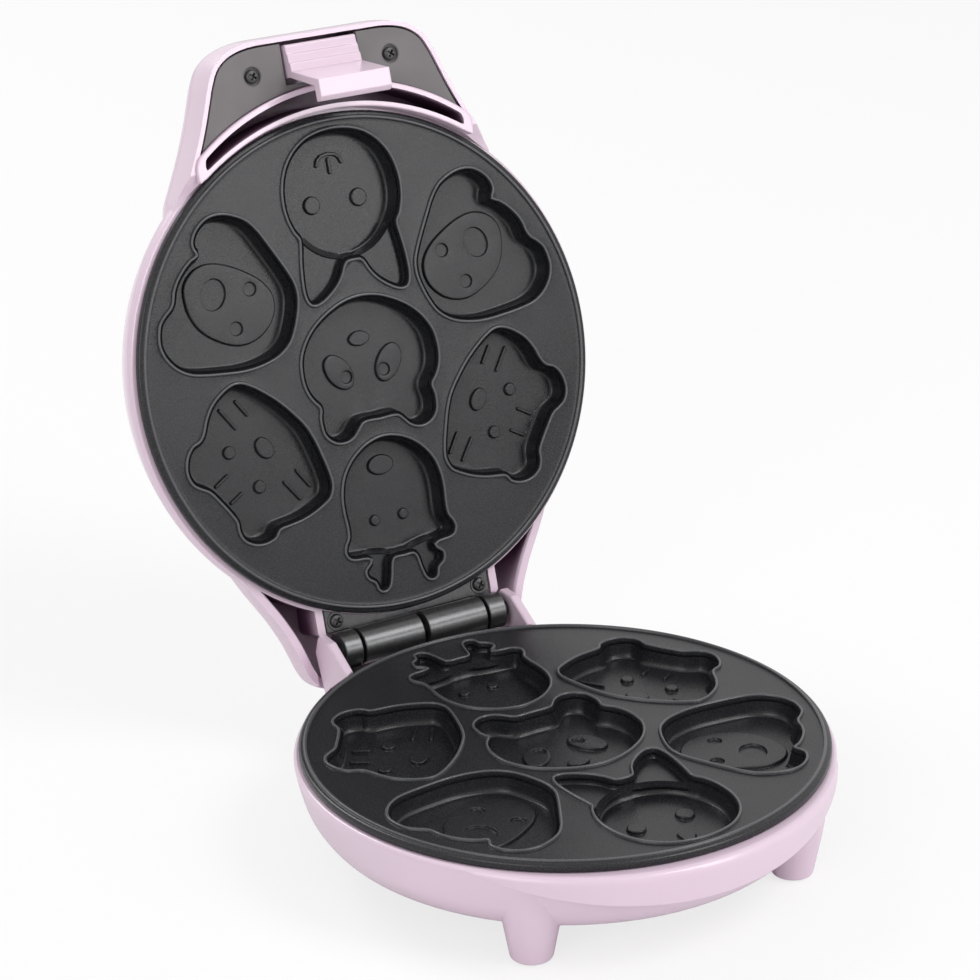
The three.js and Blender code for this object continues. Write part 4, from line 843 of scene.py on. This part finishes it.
# Latch: a pink thumb piece, moulded, that turns on a pin in the window. Three shallow grips cross its
# face, and a leg runs down from it to the lip that hooks under the base's nose.
def latch_body():
    half, pin_y, pin_z, pin_bore = 15.7, -124, 6, 1.8
    line = [(-128.8, 3.2), (-128.8, -0.9), (-128.2, -1.5), (-125.1, -1.8), (-124.8, -2.5), (-121.7, -2.8),
            (-121.4, -3.5), (-118.2, -3.9), (-114.2, -23.6), (-114, -25.4), (-107, -25.5), (-105.2, -23.8),
            (-105.2, -21.1), (-111.4, -21.1), (-115.8, -1.5), (-115.8, 3.2)]
    bm = extruded([(-half, y, z) for y, z in line], (2 * half, 0, 0))
    soften(bm, 0.45, 3, lambda edge: edge.calc_face_angle() > 0.3)
    ears = [cheek(x, x + 3, (pin_y, pin_z, 3.2), (pin_y, 1, 3.2), rounding=0.3) for x in (-half, half - 3)]
    return combine("DIFFERENCE", combine("UNION", bm, *ears), bar(pin_bore, -20, 20, pin_y, pin_z))


piece("thumb_latch", latch_body(), lid_place, "latch_body", "pink_plastic", pink, "latch")

# Hinge: two die-cast leaves in satin black, each with a long and a short knuckle, on one pin. Each leaf
# is let into its housing and held by two screws. The grommet behind it gets the same black.
black = Finish("black_metal", Metallic=0.8)
cast = black.noise(700, 3)
black.feed(Base_Color=black.mixed(cast, (0.06, 0.06, 0.062), (0.12, 0.12, 0.122)),
           Roughness=0.24 + cast * 0.12)
black.bump(cast, 0.15, 0.0001)
knuckle_spans = ((1.2, 28.0), (-37.0, -29.3))
knuckle_radius, knuckle_bore, leaf_thick = 7.5, 3.3, 1.6


def hinge_leaf(low, side):
    """The leaf from its curved front edge to its knuckles; side says which way they are dealt."""
    top = low + leaf_thick
    plate = combine("DIFFERENCE", slab((-37.7, 84, low), (37.7, shelf_y - 0.2, top), 0.5),
                    disc(leaf_arc, low - 5, low + 5, steps=192))
    spans = [sorted((side * a, side * b)) for a, b in knuckle_spans]
    knuckles = [soften(bar(knuckle_radius, a, b, hinge_y, hinge_z, 96), 0.5, 3, crisp) for a, b in spans]
    arms = [block((a, shelf_y - 1, low), (b, hinge_y, top)) for a, b in spans]
    collar = [(2.9, low - 0.35), (3.7, low - 0.35), (3.9, low), (3.9, low + 1.95), (2.9, low + 1.95)]
    collars = [turned(collar, 64, x, y) for x, y in leaf_screws]
    leaf = combine("UNION", plate, *knuckles, *arms, *collars)
    return combine("DIFFERENCE", leaf, bar(knuckle_bore, -45, 45, hinge_y, hinge_z),
                   *[disc(1.75, low - 5, low + 5, x, y, 48) for x, y in leaf_screws])


piece("hinge_leaf_lower", hinge_leaf(-7.7, 1), base_place, "base", "black_metal", black, "base_hinge_leaf")
piece("hinge_leaf_upper", hinge_leaf(5.7, -1), lid_place, "lid", "black_metal", black, "lid_hinge_leaf")
axle = soften(bar(3, -41.7, 41.7, hinge_y, hinge_z), 0.4, 2, crisp)
piece("hinge_axle", axle, base_place, "base", "black_metal", black, "hinge_pin")
dress(black, "cord_grommet")

# Inner metal: ring heaters under the plates, pressed heat shields with three screws each, thermal fuses,
# and the latch's pin and spring. Drawn or pressed, so fine lines run along the work.
steel = Finish("steel", Metallic=1.0)
rub = steel.noise(240, 2, (1, 12, 1))
steel.feed(Base_Color=steel.mixed(rub, (0.5, 0.5, 0.5), (0.62, 0.62, 0.63)), Roughness=0.28 + rub * 0.15)
dress(steel, "latch_pin", "latch_spring", "base_heater", "lid_heater", "base_thermal_fuse",
      "lid_thermal_fuse", "base_heat_shield", "lid_heat_shield",
      *(f"{half}_shield_screw_{i}" for half in ("base", "lid") for i in (1, 2, 3)))

# Screws: blackened pan heads with a cross recess, two in each hinge leaf and two in the handle panel,
# driven into the housings' bosses. Three plain ones hold the bottom cover.
dark_screw = Finish("dark_screws", Metallic=0.6)
rubbed = dark_screw.noise(900, 2)
dark_screw.feed(Base_Color=dark_screw.mixed(rubbed, (0.03, 0.03, 0.03), (0.09, 0.09, 0.09)),
                Roughness=0.35 + rubbed * 0.1)
dress(dark_screw, *(f"cover_screw_{i}" for i in (1, 2, 3)))


def cross_screw(x, y, face, way):
    """A pan-head screw with a cross recess: its outer face at the given height, its shank running back."""
    head_curve = smooth_path([(1.5, 0), (2.3, 0.25), (2.75, 0.9), (2.8, 1.9)])
    head = turned([(0, 0), *head_curve, (1.45, 1.9), (1.45, 9), (0, 9)], 48)
    arms = [block((-1.6, -0.42, -1), (1.6, 0.42, 1.5)), block((-0.42, -1.6, -1), (0.42, 1.6, 1.5))]
    screw = combine("DIFFERENCE", head, *arms)
    flip = Matrix.Identity(4) if way > 0 else Matrix.Rotation(math.pi, 4, "X")
    driven = Matrix.Rotation(math.radians(35), 4, "Z")
    bmesh.ops.transform(screw, verts=screw.verts, matrix=Matrix.Translation((x, y, face)) @ flip @ driven)
    return screw


for kind, places, face, way, place, body in (
    ("base_hinge_screw", leaf_screws, -4.2, -1, base_place, "base"),
    ("lid_hinge_screw", leaf_screws, 3.8, 1, lid_place, "lid"),
    ("handle_screw", handle_screws, -0.3, 1, lid_place, "lid"),
):
    for (x, y), side in zip(places, ("right", "left")):
        piece(f"{kind}_head_{side}", cross_screw(x, y, face, way), place, body, "dark_screws", dark_screw,
              f"{kind}_{side}")

# Switches and terminals: two disc thermostats behind the plates and the terminal block in the base,
# of dark ceramic and phenolic. Their solids' shapes are right.
ceramic = Finish("ceramic")
body_grain = ceramic.noise(600, 2)
ceramic.feed(Base_Color=ceramic.mixed(body_grain, (0.02, 0.019, 0.019), (0.05, 0.048, 0.047)),
             Roughness=0.5 + body_grain * 0.2)
dress(ceramic, "base_thermostat", "lid_thermostat", "terminal_block")

# Lamps: a red lens for power and a green one for ready, of clear dyed plastic. Each is pushed from
# inside into its hole in the drum.
lens_glow = 1.4
for node, tint in (("power_lamp", (0.6, 0.03, 0.02)), ("ready_lamp", (0.03, 0.4, 0.08))):
    lens = Finish(node, Coat_Weight=1.0)
    depth = lens.noise(300, 1)
    lens.feed(Base_Color=lens.mixed(depth, tint, tuple(value * lens_glow for value in tint)),
              Roughness=0.12 + depth * 0.05)
    dress(lens, node)
